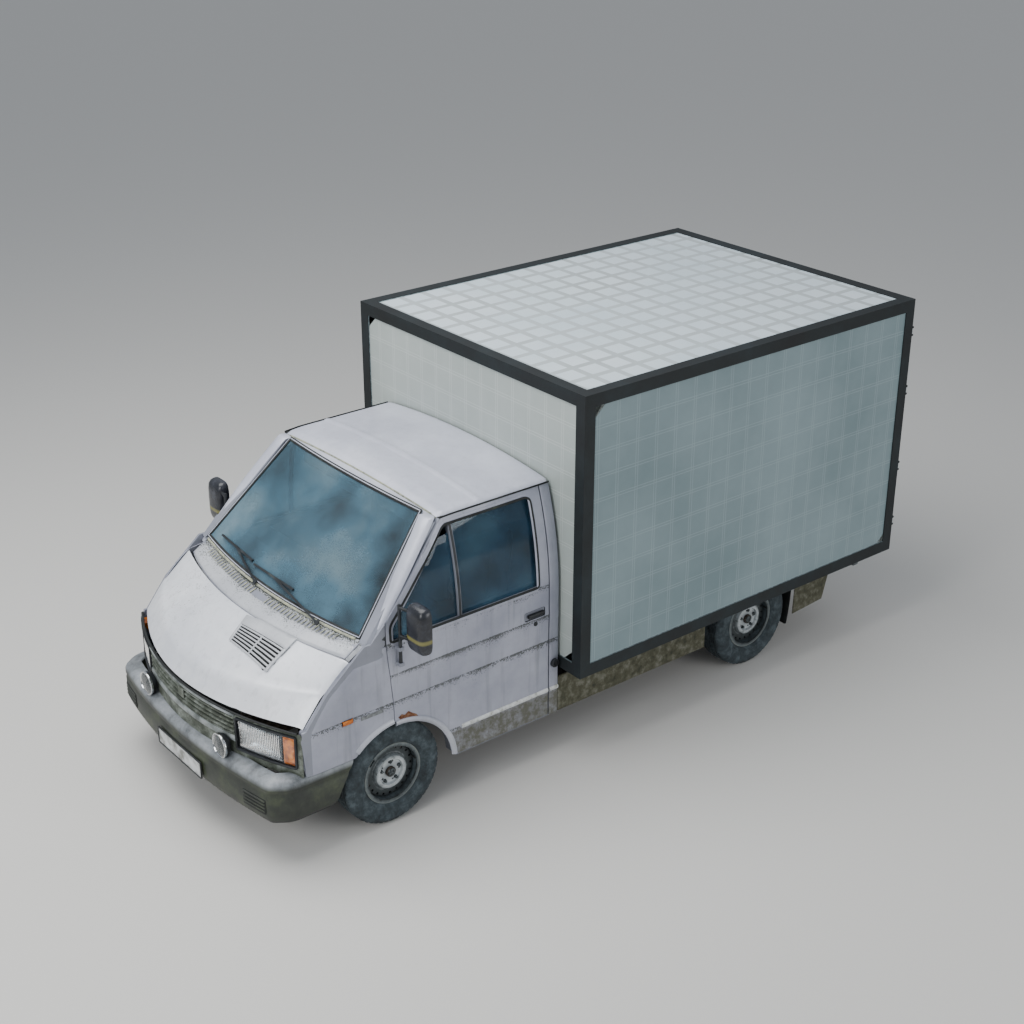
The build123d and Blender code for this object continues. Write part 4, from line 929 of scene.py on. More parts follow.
def on_bonnet(x, y, proud=0.0025):
    """Point on the bonnet above x, y, and the outward normal there."""
    share = x / bonnet_half
    low, high = (0.0, 1.0)
    for _ in range(30):
        middle = (low + high) / 2
        if bonnet_point(middle, share).y > y:
            low = middle
        else:
            high = middle
    spot = bonnet_point(low, share, proud)
    along = bonnet_point(low + 0.01, share, proud) - spot
    across = bonnet_point(low, share + 0.01, proud) - spot
    normal = along.cross(across)
    return (spot, normal.normalized() if normal.z > 0 else -normal.normalized())


# ---- Bonnet air intake --------------------------------------------------------------------------
# Low moulded scoop for the heater, screwed to the bonnet, with seven slats and a plain plate behind.
intake_corners = ((0.1, -2.069), (0.535, -1.997), (0.54, -2.214), (0.15, -2.225))


def intake_point(u, v, proud):
    """Point above the bonnet inside the intake's outline: u across, v forwards."""
    a, b, c, d = (Vector((x, y, 0)) for x, y in intake_corners)
    flat = (a * (1 - u) + b * u) * (1 - v) + (d * (1 - u) + c * u) * v
    spot, normal = on_bonnet(flat.x, flat.y)
    return spot + normal * proud


def slab(name, u_range, v_range, base, top, steps=(14, 4), round_edge=0.002):
    """Plate that follows the bonnet between two heights above it."""
    columns, rows = steps
    points = []
    for height in (base, top):
        for r in range(rows + 1):
            for c in range(columns + 1):
                u = u_range[0] + (u_range[1] - u_range[0]) * c / columns
                v = v_range[0] + (v_range[1] - v_range[0]) * r / rows
                points.append(intake_point(u, v, height))
    width = columns + 1
    layer = width * (rows + 1)
    faces = []
    for r in range(rows):
        for c in range(columns):
            a = r * width + c
            faces.append((a, a + width, a + width + 1, a + 1))
            faces.append((a + layer, a + layer + 1, a + layer + width + 1, a + layer + width))
    border = [c for c in range(columns)] + [columns + r * width for r in range(rows)]
    border += [rows * width + c for c in range(columns, 0, -1)] + [r * width for r in range(rows, 0, -1)]
    for a, b in zip(border, border[1:] + border[:1]):
        faces.append((a, b, b + layer, a + layer))
    piece = build(name, points, faces)
    return thicken(recalculate(piece), 0, round_edge)


intake_top = 0.016
intake_slats = 6
slat_start = 0.36
slat_pitch = (0.94 - slat_start) / intake_slats
intake_parts = [slab("plate", (0.0, 1.0), (0.0, slat_start), 0.0, intake_top),
    slab("rail", (0.0, 0.045), (slat_start, 1.0), 0.0, intake_top, (2, 8)),
    slab("rail", (0.955, 1.0), (slat_start, 1.0), 0.0, intake_top, (2, 8)),
    slab("rail", (0.045, 0.955), (0.955, 1.0), 0.0, intake_top, (14, 2)),
    slab("rail", (0.485, 0.515), (slat_start, 0.955), 0.004, intake_top - 0.004, (2, 8))]
for row in range(intake_slats):
    v = slat_start + 0.02 + row * slat_pitch
    intake_parts.append(slab("slat", (0.045, 0.955), (v, v + slat_pitch * 0.46), 0.006, intake_top - 0.001,
        (14, 2), 0.0012))


def join(pieces, name):
    """Join meshes that are one real piece."""
    mesh = bmesh.new()
    for piece in pieces:
        mesh.from_mesh(piece.data)
        bpy.data.objects.remove(piece)
    data = bpy.data.meshes.new(name)
    mesh.to_mesh(data)
    mesh.free()
    data.shade_smooth()
    data.set_sharp_from_angle(angle=math.radians(38))
    joined = bpy.data.objects.new(name, data)
    bpy.context.scene.collection.objects.link(joined)
    return joined


intake_paint = weathered_paint("dusty_silver_paint_on_the_intake", "A8ABAF", "C9CBCE", algae=0.6,
    streak=0.2)
intake = join(intake_parts, "bonnet_intake_moulding")
fit(intake, "bonnet_lid", intake_paint, "grey_plastic")
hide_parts("bonnet_intake")
intake_well = slab("bonnet_intake_well", (0.04, 0.96), (slat_start, 0.96), 0.003, 0.0044)
fit(intake_well, "bonnet_lid", rubber, "black_plastic")
intake_gasket = slab("bonnet_intake_gasket", (-0.012, 1.012), (-0.02, 1.03), 0.0004, 0.003)
fit(intake_gasket, "bonnet_lid", rubber, "black_plastic")

# ---- Bonnet edge seals --------------------------------------------------------------------------
# Black foam seal that shows as the dark shut line between the bonnet and the cowl.
rear_seal = [(bonnet_point(0.0, s) + Vector((0, 0.005, -0.008)), Vector((0, 0, 1)), Vector((0, 1, 0)))
    for s in np.linspace(-0.985, 0.985, 60)]
fit(strip("cowl_seal", rear_seal, round_section(0.008, 0.008)), "chassis", rubber, "black_plastic")

# ---- Roof header --------------------------------------------------------------------------------
# Painted steel header that closes the gap between the screen seal and the roof's turned-down edge.
def header_point(row, column):
    """Point of the header: row 0 is at the screen, row 1 under the roof edge."""
    share = 2 * column - 1
    low_point = screen_point(0.985, share * 1.06, -0.004)
    high_point = Vector((share * 0.8, roof_front + 0.004 + 0.006 * (1 - share * share),
        roof_height(share * 0.978, roof_front) - 0.006))
    spot = low_point.lerp(high_point, row)
    spot.y -= 0.006 * math.sin(math.pi * row)
    return spot


header = grid_skin("roof_header", 8, 40, header_point, 0.002)
turn_out(header, 1, -1)
fit(header, "chassis", roof_paint, "body_paint")

# ---- Front panel and grille ---------------------------------------------------------------------
# Dark grey moulded nose panel that carries the lamps, with bowed slats, gone grey-green with algae.
nose_y = -2.478
nose_radius = 1.96
panel_end = 0.93
lamp_inner, lamp_outer, indicator_outer = (0.512, 0.818, 0.892)
lamp_low, lamp_high = (0.622, 0.812)


def bow(x, nose, radius):
    """Plan position of a bowed face."""
    return nose + radius - math.sqrt(radius * radius - x * x)


def front_point(x, z, proud=0.0):
    """Point on the nose panel, proud of it towards the front."""
    normal = Vector((x / nose_radius, -math.sqrt(1 - (x / nose_radius) ** 2), 0))
    return Vector((x, bow(x, nose_y, nose_radius), z)) + normal * proud


grille_plastic = toned("algae_grey_grille_plastic", [(0.3, "22261F"), (0.48, "4B5146"), (0.62, "787E76"),
    (0.8, "A3A8A6")], 13.0, 8.0, 0.7, bump=0.3, Roughness=0.6)


def nose_path(reach, z, proud, count):
    """Stations for strip() across the nose at height z."""
    return [(front_point(x, z, proud), Vector((x / nose_radius, -1, 0)).normalized(), Vector((0, 0, 1)))
        for x in np.linspace(-reach, reach, count)]


def lamp_hole(side):
    """Opening for one headlamp and its indicator, in x and z."""
    ends = sorted((side * (lamp_inner - 0.004), side * (indicator_outer + 0.004)))
    return rounded(rectangle(ends[0], ends[1], lamp_low - 0.004, lamp_high + 0.004), 0.008, 3)


grille_hole = rounded(rectangle(-0.486, 0.486, 0.7, 0.824), 0.012, 3)
nose_outline = rounded(rectangle(-panel_end, panel_end, 0.556, 0.838), 0.014, 4)
nose_panel = skin("nose_panel", nose_outline, lambda x, z: front_point(x, z, 0.004), sheet=0.004,
    holes=(lamp_hole(1), lamp_hole(-1), grille_hole), pitch=0.05, edge=0.0015)
fit(nose_panel, "chassis", grille_plastic, "black_plastic")
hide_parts("grille")
slat_section = [(-0.012, -0.01), (0.006, -0.009), (0.01, -0.004), (0.01, 0.002), (0.004, 0.007),
    (-0.012, 0.009)]
for number, slat_z in enumerate((0.716, 0.746, 0.776, 0.806)):
    slat_path = nose_path(0.488, slat_z, 0.0, 40)
    fit(strip(f"grille_slat_{number + 1}", slat_path, slat_section), "chassis", grille_plastic,
        "black_plastic")
rail_grey = toned("sun_bleached_grille_rail_plastic", [(0.34, "4C5150"), (0.5, "7F8583"), (0.7, "A7ACAE")],
    10.0, 8.0, Roughness=0.5)
rail_reach = 0.498
for rail_name, rail_z, rail_size in (("top", 0.826, 0.018), ("low", 0.672, 0.040)):
    rail_path = nose_path(rail_reach, rail_z, 0.006, 50)
    fit(strip("grille_rail_" + rail_name, rail_path, round_section(rail_size, 0.016)), "chassis", rail_grey,
        "grey_plastic")
back_outline = rectangle(-0.5, 0.5, 0.69, 0.83)
grille_back = skin("grille_back", back_outline, lambda x, z: front_point(x, z, -0.04), sheet=0.002,
    pitch=0.08)
fit(grille_back, "chassis", rubber, "black_plastic")
fit(strip("nose_top_trim", nose_path(0.905, 0.842, 0.006, 70), round_section(0.01, 0.016)), "chassis",
    rubber, "black_plastic")
emblem = crowned_box("grille_emblem_plate", (-0.034, bow(0, nose_y, nose_radius) - 0.014, 0.742),
    (0.034, bow(0, nose_y, nose_radius) - 0.004, 0.806), 0.004)
fit(emblem, "chassis", grille_plastic, "black_plastic")

# ---- Headlamps and indicators -------------------------------------------------------------------
# Ribbed glass lens over a vacuum-metallised reflector, amber acrylic indicator beside it, and a
# black bezel round both; all plug into the nose panel from behind.
lens_glass = toned("fluted_headlamp_glass", [(0.3, "C9D3DA"), (0.6, "F4F7F9")], 25.0, 6.0, Roughness=0.05,
    IOR=1.35, Transmission_Weight=1.0)
amber = toned("amber_acrylic_lens", [(0.35, "8E4411"), (0.55, "D9761C"), (0.75, "F0A04A")], 30.0, 6.0,
    Roughness=0.22, IOR=1.49, Transmission_Weight=0.25)
reflector_metal = toned("metallised_lamp_reflector", [(0.3, "7E868D"), (0.7, "E8ECEE")], 40.0, 5.0,
    Metallic=1.0, Roughness=0.16)


def lens_patch(name, x_from, x_to, ribs, rib_depth, proud, thickness=0.003):
    """Ribbed lens between two x positions on the nose; ribs stand upright."""
    columns = ribs * 6

    def place(row, column):
        x = x_from + (x_to - x_from) * column
        z = lamp_low + 0.003 + (lamp_high - lamp_low - 0.006) * row
        edge = min(row, 1 - row, column * 2, (1 - column) * 2)
        dome = 0.01 * (1 - math.exp(-edge * 16))
        return front_point(x, z, proud + dome + rib_depth * abs(math.sin(math.pi * ribs * column)))

    patch = grid_skin(name, 14, columns, place, thickness)
    turn_out(patch, 1, -1)
    return patch


def bowl(name, x_from, x_to, depth):
    """Reflector behind a lens: a rounded bowl with a central paraboloid."""
    def place(row, column):
        x = x_from + (x_to - x_from) * column
        z = lamp_low + 0.004 + (lamp_high - lamp_low - 0.008) * row
        u, v = (abs(2 * column - 1), abs(2 * row - 1))
        share = 1 - max(u, v) ** 6
        round_part = max(0.0, 1 - (2 * column - 1) ** 2 * 1.8 - (2 * row - 1) ** 2 * 0.9)
        return front_point(x, z, -depth * 0.45 * share - depth * 0.55 * round_part)

    return grid_skin(name, 20, 32, place, 0.0)


for side, x_sign in (("left", 1), ("right", -1)):
    ends = sorted((x_sign * (lamp_inner + 0.003), x_sign * (lamp_outer - 0.002)))
    lens = fit(lens_patch("headlamp_lens_" + side, *ends, 26, 0.0016, 0.0), "chassis", lens_glass,
        "lamp_glass")
    if side == "left":
        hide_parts("front_lamps")
    fit(bowl("headlamp_reflector_" + side, *ends, 0.055), "chassis", reflector_metal, "bare_steel")
    bulb_x = x_sign * (lamp_inner + lamp_outer) / 2
    bulb_spot = front_point(bulb_x, (lamp_low + lamp_high) / 2, -0.04)
    fit(revolve("headlamp_bulb_cap_" + side, [(0.0001, 0.024), (0.006, 0.022), (0.009, 0.016), (0.01, 0.0),
        (0.016, -0.004), (0.0001, -0.006)], bulb_spot, (0, -1, 0), 24), "chassis", bright_steel,
        "bare_steel")
    ends = sorted((x_sign * (lamp_outer + 0.002), x_sign * (indicator_outer - 0.002)))
    fit(lens_patch("indicator_lens_" + side, *ends, 9, 0.0014, 0.0), "chassis", amber, "amber_lens")
    loop = dense(lamp_hole(x_sign), 0.03, closed=True)
    frame_path = []
    for index, (x, z) in enumerate(loop):
        after, before = (loop[(index + 1) % len(loop)], loop[index - 1])
        out = Vector((x / nose_radius, -1, 0)).normalized()
        run = (front_point(*after) - front_point(*before)).normalized()
        frame_path.append((front_point(x, z, 0.004), out, run.cross(out).normalized()))
    bezel = strip("headlamp_bezel_" + side, frame_path, [(-0.006, -0.004), (0.012, -0.005), (0.015, 0.0),
        (0.013, 0.007), (-0.006, 0.008)], closed=True)
    fit(bezel, "chassis", black_plastic, "black_plastic")

# ---- Driving lamps ------------------------------------------------------------------------------
# Two round auxiliary lamps bolted to the bumper ledge: black steel shells, chromed rims, clear lenses.
drive_x = 0.44
drive_z = 0.63
drive_radius = 0.074
drive_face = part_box("front_lamps")[0].y
chrome = toned("pitted_chrome_rim", [(0.32, "8D8A84"), (0.5, "D6D9DB")], 90.0, 5.0, Metallic=1.0,
    Roughness=0.12)
for side, x_sign in (("left", 1), ("right", -1)):
    centre = (x_sign * drive_x, drive_face, drive_z)
    shell = revolve("driving_lamp_shell_" + side, [(drive_radius - 0.006, -0.004), (drive_radius, -0.006),
        (drive_radius - 0.001, -0.022), (drive_radius * 0.8, -0.046), (drive_radius * 0.45, -0.056),
        (0.0001, -0.058), (0.0001, -0.054), (drive_radius * 0.78, -0.042), (drive_radius - 0.008, -0.01)],
        centre, (0, -1, 0), 56)
    fit(shell, "chassis", black_plastic, "black_plastic")
    rim_ring = revolve("driving_lamp_rim_" + side, [(drive_radius - 0.009, -0.001),
        (drive_radius - 0.005, 0.004), (drive_radius + 0.001, 0.002), (drive_radius + 0.003, -0.006),
        (drive_radius + 0.001, -0.012), (drive_radius - 0.006, -0.012), (drive_radius - 0.009, -0.001)],
        centre, (0, -1, 0), 56)
    fit(rim_ring, "chassis", chrome, "bare_steel")
    lens_profile = [((drive_radius - 0.008) * math.sin(a), 0.01 * math.cos(a) - 0.002)
        for a in np.linspace(0.002, math.pi / 2, 12)]
    lens_profile += [(r, h - 0.003) for r, h in reversed(lens_profile)]
    fit(revolve("driving_lamp_lens_" + side, lens_profile, centre, (0, -1, 0), 56), "chassis", lens_glass,
        "lamp_glass")
    dish_profile = [(0.0001, -0.046)] + [((drive_radius - 0.01) * s, -0.046 + 0.04 * s * s)
        for s in np.linspace(0.12, 1.0, 10)]
    dish = revolve("driving_lamp_reflector_" + side, dish_profile + [(r, h - 0.0015)
        for r, h in reversed(dish_profile)], centre, (0, -1, 0), 48)
    fit(dish, "chassis", reflector_metal, "bare_steel")
    foot = crowned_box("driving_lamp_foot_" + side, (centre[0] - 0.014, drive_face + 0.012, 0.548),
        (centre[0] + 0.014, drive_face + 0.04, drive_z - drive_radius + 0.006), 0.003)
    fit(foot, "chassis", black_plastic, "black_plastic")

# ---- Front bumper -------------------------------------------------------------------------------
# One-piece moulded polypropylene bumper, dark grey-green with algae below; its top ledge is painted pale as
# painted light and its underside near-black as painted shade.
bumper_nose = -2.53
bumper_radius = 4.3
bumper_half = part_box("front_bumper")[1].x
corner_x = 0.86
corner_y = bow(corner_x, bumper_nose, bumper_radius)
bumper_side_y = -2.33
bumper_tail = -1.905
bumper_side_tail = -2.07
bumper_plastic, bumper_tree, bumper_shader = new_material("algae_stained_bumper_polypropylene",
    Roughness=0.5)
bumper_where = add_node(bumper_tree, "TexCoord").outputs["Object"]
bumper_height = add_node(bumper_tree, "SeparateXYZ", bumper_where).outputs["Z"]
bumper_cloud = add_node(bumper_tree, "TexNoise", bumper_where, Scale=6.0, Detail=9.0, Roughness=0.68)
bumper_face_tone = add_node(bumper_tree, "ValToRGB", bumper_cloud,
    stops=[(0.34, "1C201C"), (0.5, "2B3028"), (0.64, "3C4331"), (0.84, "5A6140")])
# Painted light: the top of the ledge is painted pale where the overhead light falls.
lit_top_mask = add_node(bumper_tree, "MapRange", bumper_height, 0.512, 0.545, 0.0, 1.0)
lit_top_tone = add_node(bumper_tree, "ValToRGB", bumper_cloud, stops=[(0.32, "4A4E50"), (0.52, "83888C"),
    (0.75, "A5A9AD")])
# Painted shade: the underside below about 0.3 m is painted near-black.
shaded_underside_mask = add_node(bumper_tree, "MapRange", bumper_height, 0.296, 0.306, 1.0, 0.0)
bumper_with_underside_shade = add_node(bumper_tree, "Mix", shaded_underside_mask, A=bumper_face_tone, B=shade("131613"))
bumper_mix = add_node(bumper_tree, "Mix", lit_top_mask, A=bumper_with_underside_shade, B=lit_top_tone)
feed(bumper_shader, "Base Color", bumper_mix)
bumper_grain = add_node(bumper_tree, "TexNoise", bumper_where, Scale=350.0, Detail=2.0)
bumper_bump = add_node(bumper_tree, "Bump", Height=bumper_grain, Strength=0.25, Distance=0.0008)
feed(bumper_shader, "Normal", bumper_bump)
bumper_plan = [(bumper_half, bumper_tail), (bumper_half, bumper_side_y), (corner_x, corner_y)]
bumper_plan += [(x, bow(x, bumper_nose, bumper_radius)) for x in np.linspace(0.8, -0.8, 41)]
bumper_plan += [(-corner_x, corner_y), (-bumper_half, bumper_side_y), (-bumper_half, bumper_tail)]
corner_radii = [0, 0.1, 0.05] + [0] * 41 + [0.05, 0.1, 0]
smooth_plan = []
for index, corner in enumerate(bumper_plan):
    if corner_radii[index] == 0:
        smooth_plan.append(corner)
        continue
    near = [bumper_plan[index - 1], corner, bumper_plan[index + 1]]
    smooth_plan += rounded(near, [0, corner_radii[index], 0], 7)[1:-1]
bumper_path = []
for index, (x, y) in enumerate(smooth_plan):
    before = smooth_plan[max(index - 1, 0)]
    after = smooth_plan[min(index + 1, len(smooth_plan) - 1)]
    run = Vector((after[0] - before[0], after[1] - before[1], 0)).normalized()
    bumper_path.append((Vector((x, y, 0)), run.cross(Vector((0, 0, -1))).normalized(), Vector((0, 0, 1))))
if bumper_path[20][1].y > 0:
    bumper_path = [(spot, -out, up) for spot, out, up in bumper_path]
bumper_outer = [(-0.096, 0.574), (-0.062, 0.573), (-0.03, 0.566), (-0.01, 0.553), (-0.001, 0.535),
    (0.0, 0.505), (-0.0045, 0.497), (-0.0045, 0.48), (0.0, 0.472), (-0.002, 0.345), (-0.01, 0.315),
    (-0.03, 0.285), (-0.055, 0.267), (-0.085, 0.264)]
bumper_inner = [(out - 0.006, up - 0.008) for out, up in bumper_outer[:4]]
bumper_inner += [(out - 0.01, up) for out, up in bumper_outer[4:-2]]
bumper_inner += [(out - 0.006, up + 0.008) for out, up in bumper_outer[-2:]]
bumper = strip("bumper_moulding", bumper_path, bumper_outer + bumper_inner[::-1], angle=42)
for vertex in bumper.data.vertices:
    slope = (bumper_tail - bumper_side_tail) * (0.574 - vertex.co.z) / (0.574 - 0.264)
    vertex.co.y = min(vertex.co.y, bumper_tail - slope)
fit(bumper, "chassis", bumper_plastic, "black_plastic")
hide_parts("front_bumper")


def bumper_point(x, z, proud=0.0):
    """Point on the front of the bumper face."""
    return Vector((x, bow(x, bumper_nose, bumper_radius) - proud, z))


vent_outline = rounded(rectangle(0.645, 0.838, 0.348, 0.448), 0.01, 4)
for side, x_sign in (("left", 1), ("right", -1)):
    vent = skin("vent", [(x_sign * x, z) for x, z in vent_outline], lambda x, z: bumper_point(x, z, 0.0006),
        0.0008, pitch=0.04)
    vent.name = "bumper_vent_recess_" + side
    fit(vent, "chassis", rubber, "black_plastic")
    for number in range(4):
        fin_z = 0.364 + number * 0.0225
        fin_path = [(bumper_point(x_sign * x, fin_z + 0.004, 0.001), Vector((0, -1, 0)), Vector((0, 0, 1)))
            for x in np.linspace(0.652, 0.832, 8)]
        fin = strip(f"bumper_vent_fin_{side}_{number + 1}", fin_path,
            [(0.0, -0.005), (0.005, -0.004), (0.004, 0.003), (0.0, 0.005)])
        fit(fin, "chassis", bumper_plastic, "black_plastic")

# ---- Number plate -------------------------------------------------------------------------------
# Blank pressed-aluminium plate with white reflective film and a black moulded surround.
plate_low, plate_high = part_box("number_plate")
plate_film = toned("reflective_film_on_aluminium", [(0.33, "7E7F78"), (0.5, "BFC1C0"), (0.72, "D9DBDC")],
    18.0, 8.0, Roughness=0.4)
plate_outline = rounded(rectangle(plate_low.x + 0.004, plate_high.x - 0.004, plate_low.z + 0.004,
    plate_high.z - 0.004), 0.01, 4)
plate = skin("plate_blank", plate_outline, lambda x, z: Vector((x, plate_low.y - 0.0085, z)), 0.0025,
    pitch=0.05)
fit(plate, "chassis", plate_film, "plate_metal")
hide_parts("number_plate")


def flat_loop(outline, y, out):
    """Stations for strip() round an outline in x and z that lies in one upright plane."""
    path = []
    for (x, z), before, after in zip(outline, outline[-1:] + outline[:-1], outline[1:] + outline[:1]):
        run = Vector((after[0] - before[0], 0, after[1] - before[1])).normalized()
        path.append((Vector((x, y, z)), Vector(out), run.cross(Vector(out))))
    return path


rim_path = flat_loop(plate_outline, plate_low.y - 0.0085, (0, -1, 0))
plate_rim = strip("plate_surround", rim_path, [(-0.004, -0.003), (0.003, -0.003), (0.004, 0.001),
    (0.003, 0.006), (-0.004, 0.007)], closed=True)
fit(plate_rim, "chassis", black_plastic, "black_plastic")

# ---- Door mirrors -------------------------------------------------------------------------------
# Large rounded black shells with a flat mirror glass, on two arms that fold about a steel post.
def worn(name, low, middle, high, scale, bump=0.0, fine=0.0, **values):
    """Material whose colour wanders between three tones, with coarse dents and a fine grain."""
    material, tree, shader = new_material(name, **values)
    where = add_node(tree, "TexCoord").outputs["Object"]
    cloud = add_node(tree, "TexNoise", where, Scale=scale, Detail=8.0, Roughness=0.68)
    tone = add_node(tree, "ValToRGB", cloud, stops=[(0.34, low), (0.5, middle), (0.7, high)])
    feed(shader, "Base Color", tone)
    grain = add_node(tree, "TexNoise", where, Scale=fine or scale * 9, Detail=3.0)
    rough = add_node(tree, "Bump", Height=grain, Strength=0.3, Distance=0.0006)
    dents = add_node(tree, "Bump", Height=cloud, Strength=bump, Distance=0.003, Normal=rough)
    feed(shader, "Normal", dents)
    return material


shell_plastic = worn("weathered_mirror_shell_plastic", "17191D", "26282E", "474A52", 7.0, 0.1, 500.0,
    Roughness=0.27)
shell_tree = shell_plastic.node_tree
shell_where = add_node(shell_tree, "TexCoord").outputs["Object"]
shell_z = add_node(shell_tree, "SeparateXYZ", shell_where).outputs["Z"]
band_gap = add_node(shell_tree, "Math SUBTRACT", shell_z, 1.292)
band_gap = add_node(shell_tree, "Math ABSOLUTE", band_gap)
band_mask = add_node(shell_tree, "MapRange", band_gap, 0.006, 0.017, 0.85, 0.0)
shell_shader = shell_tree.nodes["Principled BSDF"]
shell_mix = add_node(shell_tree, "Mix", band_mask, A=shell_shader.inputs["Base Color"].links[0].from_socket,
    B=shade("7E7A45"))
feed(shell_shader, "Base Color", shell_mix)
mirror_glass = worn("silvered_mirror_glass", "B4BABE", "DDE2E5", "ECEFF1", 12.0, Metallic=1.0,
    Roughness=0.04)
mirror_pivot = Vector((0.962, -1.59, 0))
shell_low, shell_high = (Vector((1.02, -1.6, 1.195)), Vector((1.19, -1.528, 1.49)))


def superellipse(width, height, power, count=56):
    """Rounded-rectangle outline about the origin."""
    outline = []
    for k in range(count):
        a = 2 * math.pi * k / count
        c, s = (math.cos(a), math.sin(a))
        outline.append((width / 2 * math.copysign(abs(c) ** (2 / power), c),
            height / 2 * math.copysign(abs(s) ** (2 / power), s)))
    return outline


shell_centre = (shell_low + shell_high) / 2
shell_rings = []
for y, share in ((0.0, 0.90), (-0.004, 0.90), (-0.002, 0.955), (0.002, 0.985), (0.010, 1.0), (0.030, 0.995),
        (0.048, 0.96), (0.062, 0.88), (0.071, 0.74), (0.076, 0.52), (0.078, 0.25), (0.0785, 0.02)):
    back = y if share != 0.9 else 0.006 if y == 0.0 else -0.001
    ring = superellipse((shell_high.x - shell_low.x) * share, (shell_high.z - shell_low.z) * share, 5.0)
    shell_rings.append([Vector((shell_centre.x + x, shell_high.y - back, shell_centre.z + z))
        for x, z in ring])
shell = loft("mirror_shell", shell_rings)
glass_ring = superellipse(0.17 * 0.885, 0.295 * 0.885, 5.0)
pane_rings = [[Vector((shell_centre.x + x * s, shell_high.y - depth, shell_centre.z + z * s))
    for x, z in glass_ring] for depth, s in ((0.008, 1.0), (0.003, 1.0), (0.0022, 0.97), (0.002, 0.5),
    (0.002, 0.02))]
folding = ("left_mirror", "right_mirror")
both_sides(shell, "mirror_shell", folding, shell_plastic, "black_plastic")
both_sides(loft("mirror_pane", pane_rings), "mirror_pane", folding, mirror_glass, "glass")
for number, arm_z in enumerate((1.251, 1.431)):
    arm_rings = []
    for share in np.linspace(0, 1, 8):
        spot = mirror_pivot.lerp(Vector((1.05, -1.57, 0)), share)
        ring = superellipse(0.024 - 0.006 * math.sin(math.pi * share),
            0.022 - 0.006 * math.sin(math.pi * share), 3, 20)
        arm_rings.append([Vector((spot.x, spot.y + a, arm_z + b)) for a, b in ring])
    both_sides(loft("arm", arm_rings), f"mirror_arm_{number + 1}", folding, black_plastic, "black_plastic")
post = revolve("post", [(0.0001, 0.0), (0.008, 0.0), (0.0105, 0.003), (0.0105, 0.392), (0.008, 0.396),
    (0.0001, 0.396)], (mirror_pivot.x, mirror_pivot.y, 1.056), (0, 0, 1), 24)
both_sides(post, "mirror_post", folding, black_plastic, "black_plastic")
for side in ("left", "right"):
    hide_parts("mirror_" + side)

# ---- Wipers -------------------------------------------------------------------------------------
# Painted steel arms with a hinge hood, and bridged blades that carry a rubber lip on the glass.
paint_nodes(("wiper_left", "wiper_right"), black_plastic)

# ---- Cargo box frame ----------------------------------------------------------------------------
# Extruded aluminium angles, powder-coated dark teal-black and mitred at the corners.
box_coat = worn("dark_teal_powder_coat", "080D0F", "0D1517", "152024", 3.0, 0.1, 600.0, Roughness=0.7)


paint_nodes(("box_frame",), box_coat)
box_low, box_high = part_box("box_frame")

# ---- Cargo box panels ---------------------------------------------------------------------------
# Glass-fibre laminate skins on honeycomb cores; the core's square cells print through as fine double
# lines on the walls and as broad grey bands on the roof. The roof skin is painted lighter and the side
# skins darker than the front, as painted light and shade.
def laminate(name, base, pale, line, pitch, width, twin, axes, offset=(0.0, 0.0), fade=0.0):
    """Laminate with a square grid of lines along two axes; twin splits each line into a pair."""
    material, tree, shader = new_material(name, Roughness=0.42)
    where = add_node(tree, "TexCoord").outputs["Object"]
    cloud = add_node(tree, "TexNoise", where, Scale=0.9, Detail=7.0, Roughness=0.6)
    tone = add_node(tree, "ValToRGB", cloud, stops=[(0.35, base), (0.68, pale)])
    split = add_node(tree, "SeparateXYZ", where)
    mask = None
    for axis, shift in zip(axes, offset):
        scaled = add_node(tree, "Math MULTIPLY_ADD", split.outputs[axis], 1 / pitch, shift)
        cell = add_node(tree, "Math FRACT", scaled)
        cell = add_node(tree, "Math SUBTRACT", cell, 0.5)
        cell = add_node(tree, "Math ABSOLUTE", cell)
        if twin:
            cell = add_node(tree, "Math SUBTRACT", cell, twin / pitch)
            cell = add_node(tree, "Math ABSOLUTE", cell)
        band = add_node(tree, "MapRange", cell, width / pitch, width / pitch + 0.012, 1.0, 0.0)
        mask = band if mask is None else add_node(tree, "Math MAXIMUM", mask, band)
    wander = add_node(tree, "MapRange", cloud, 0.35, 0.65, 1 - fade, 1.0)
    shown = add_node(tree, "Math MULTIPLY", mask, wander)
    lined = add_node(tree, "Mix", shown, A=tone, B=shade(line))
    feed(shader, "Base Color", lined)
    weave = add_node(tree, "TexNoise", where, Scale=420.0, Detail=2.0)
    rough = add_node(tree, "Bump", Height=weave, Strength=0.12, Distance=0.0005)
    raised = add_node(tree, "Bump", Height=mask, Strength=0.5, Distance=0.0008, Normal=rough)
    feed(shader, "Normal", raised)
    return material


panel_inset = 0.008
panel_edge = 0.08
wall_low, wall_high = (box_low.z + panel_edge - 0.004, box_high.z - panel_edge + 0.004)
# One laminate in three copies: the side copy is painted darker as painted shade, the roof copy lighter as
# painted light, and the front copy in between.
side_laminate = laminate("side_laminate_darkened_as_painted_shade", "6C7F83", "829498", "8A9B9F", 0.155, 0.0016, 0.009,
    (1, 2), (0.3, 0.1), 0.4)
front_laminate = laminate("grey_green_front_laminate", "9AA39F", "AEB6B2", "BBC2BE", 0.155, 0.0015, 0.009,
    (0, 2), (0.5, 0.1), 0.4)
roof_laminate = laminate("roof_laminate_lightened_as_painted_light", "BCCBD2", "CFDADF", "A4ACAD", 0.178, 0.021, 0.0, (0, 1),
    (0.5, 0.2), 0.45)
depth_y = box_high.y - box_low.y
panel_reach = box_high.x - panel_edge + 0.004
panel_start = box_low.y + panel_edge - 0.004
panel_run = depth_y - 2 * panel_edge + 0.008


def swollen(depth, row, column):
    """How far a panel stands out at a place between its edges."""
    return depth * math.sin(math.pi * row) * math.sin(math.pi * column)


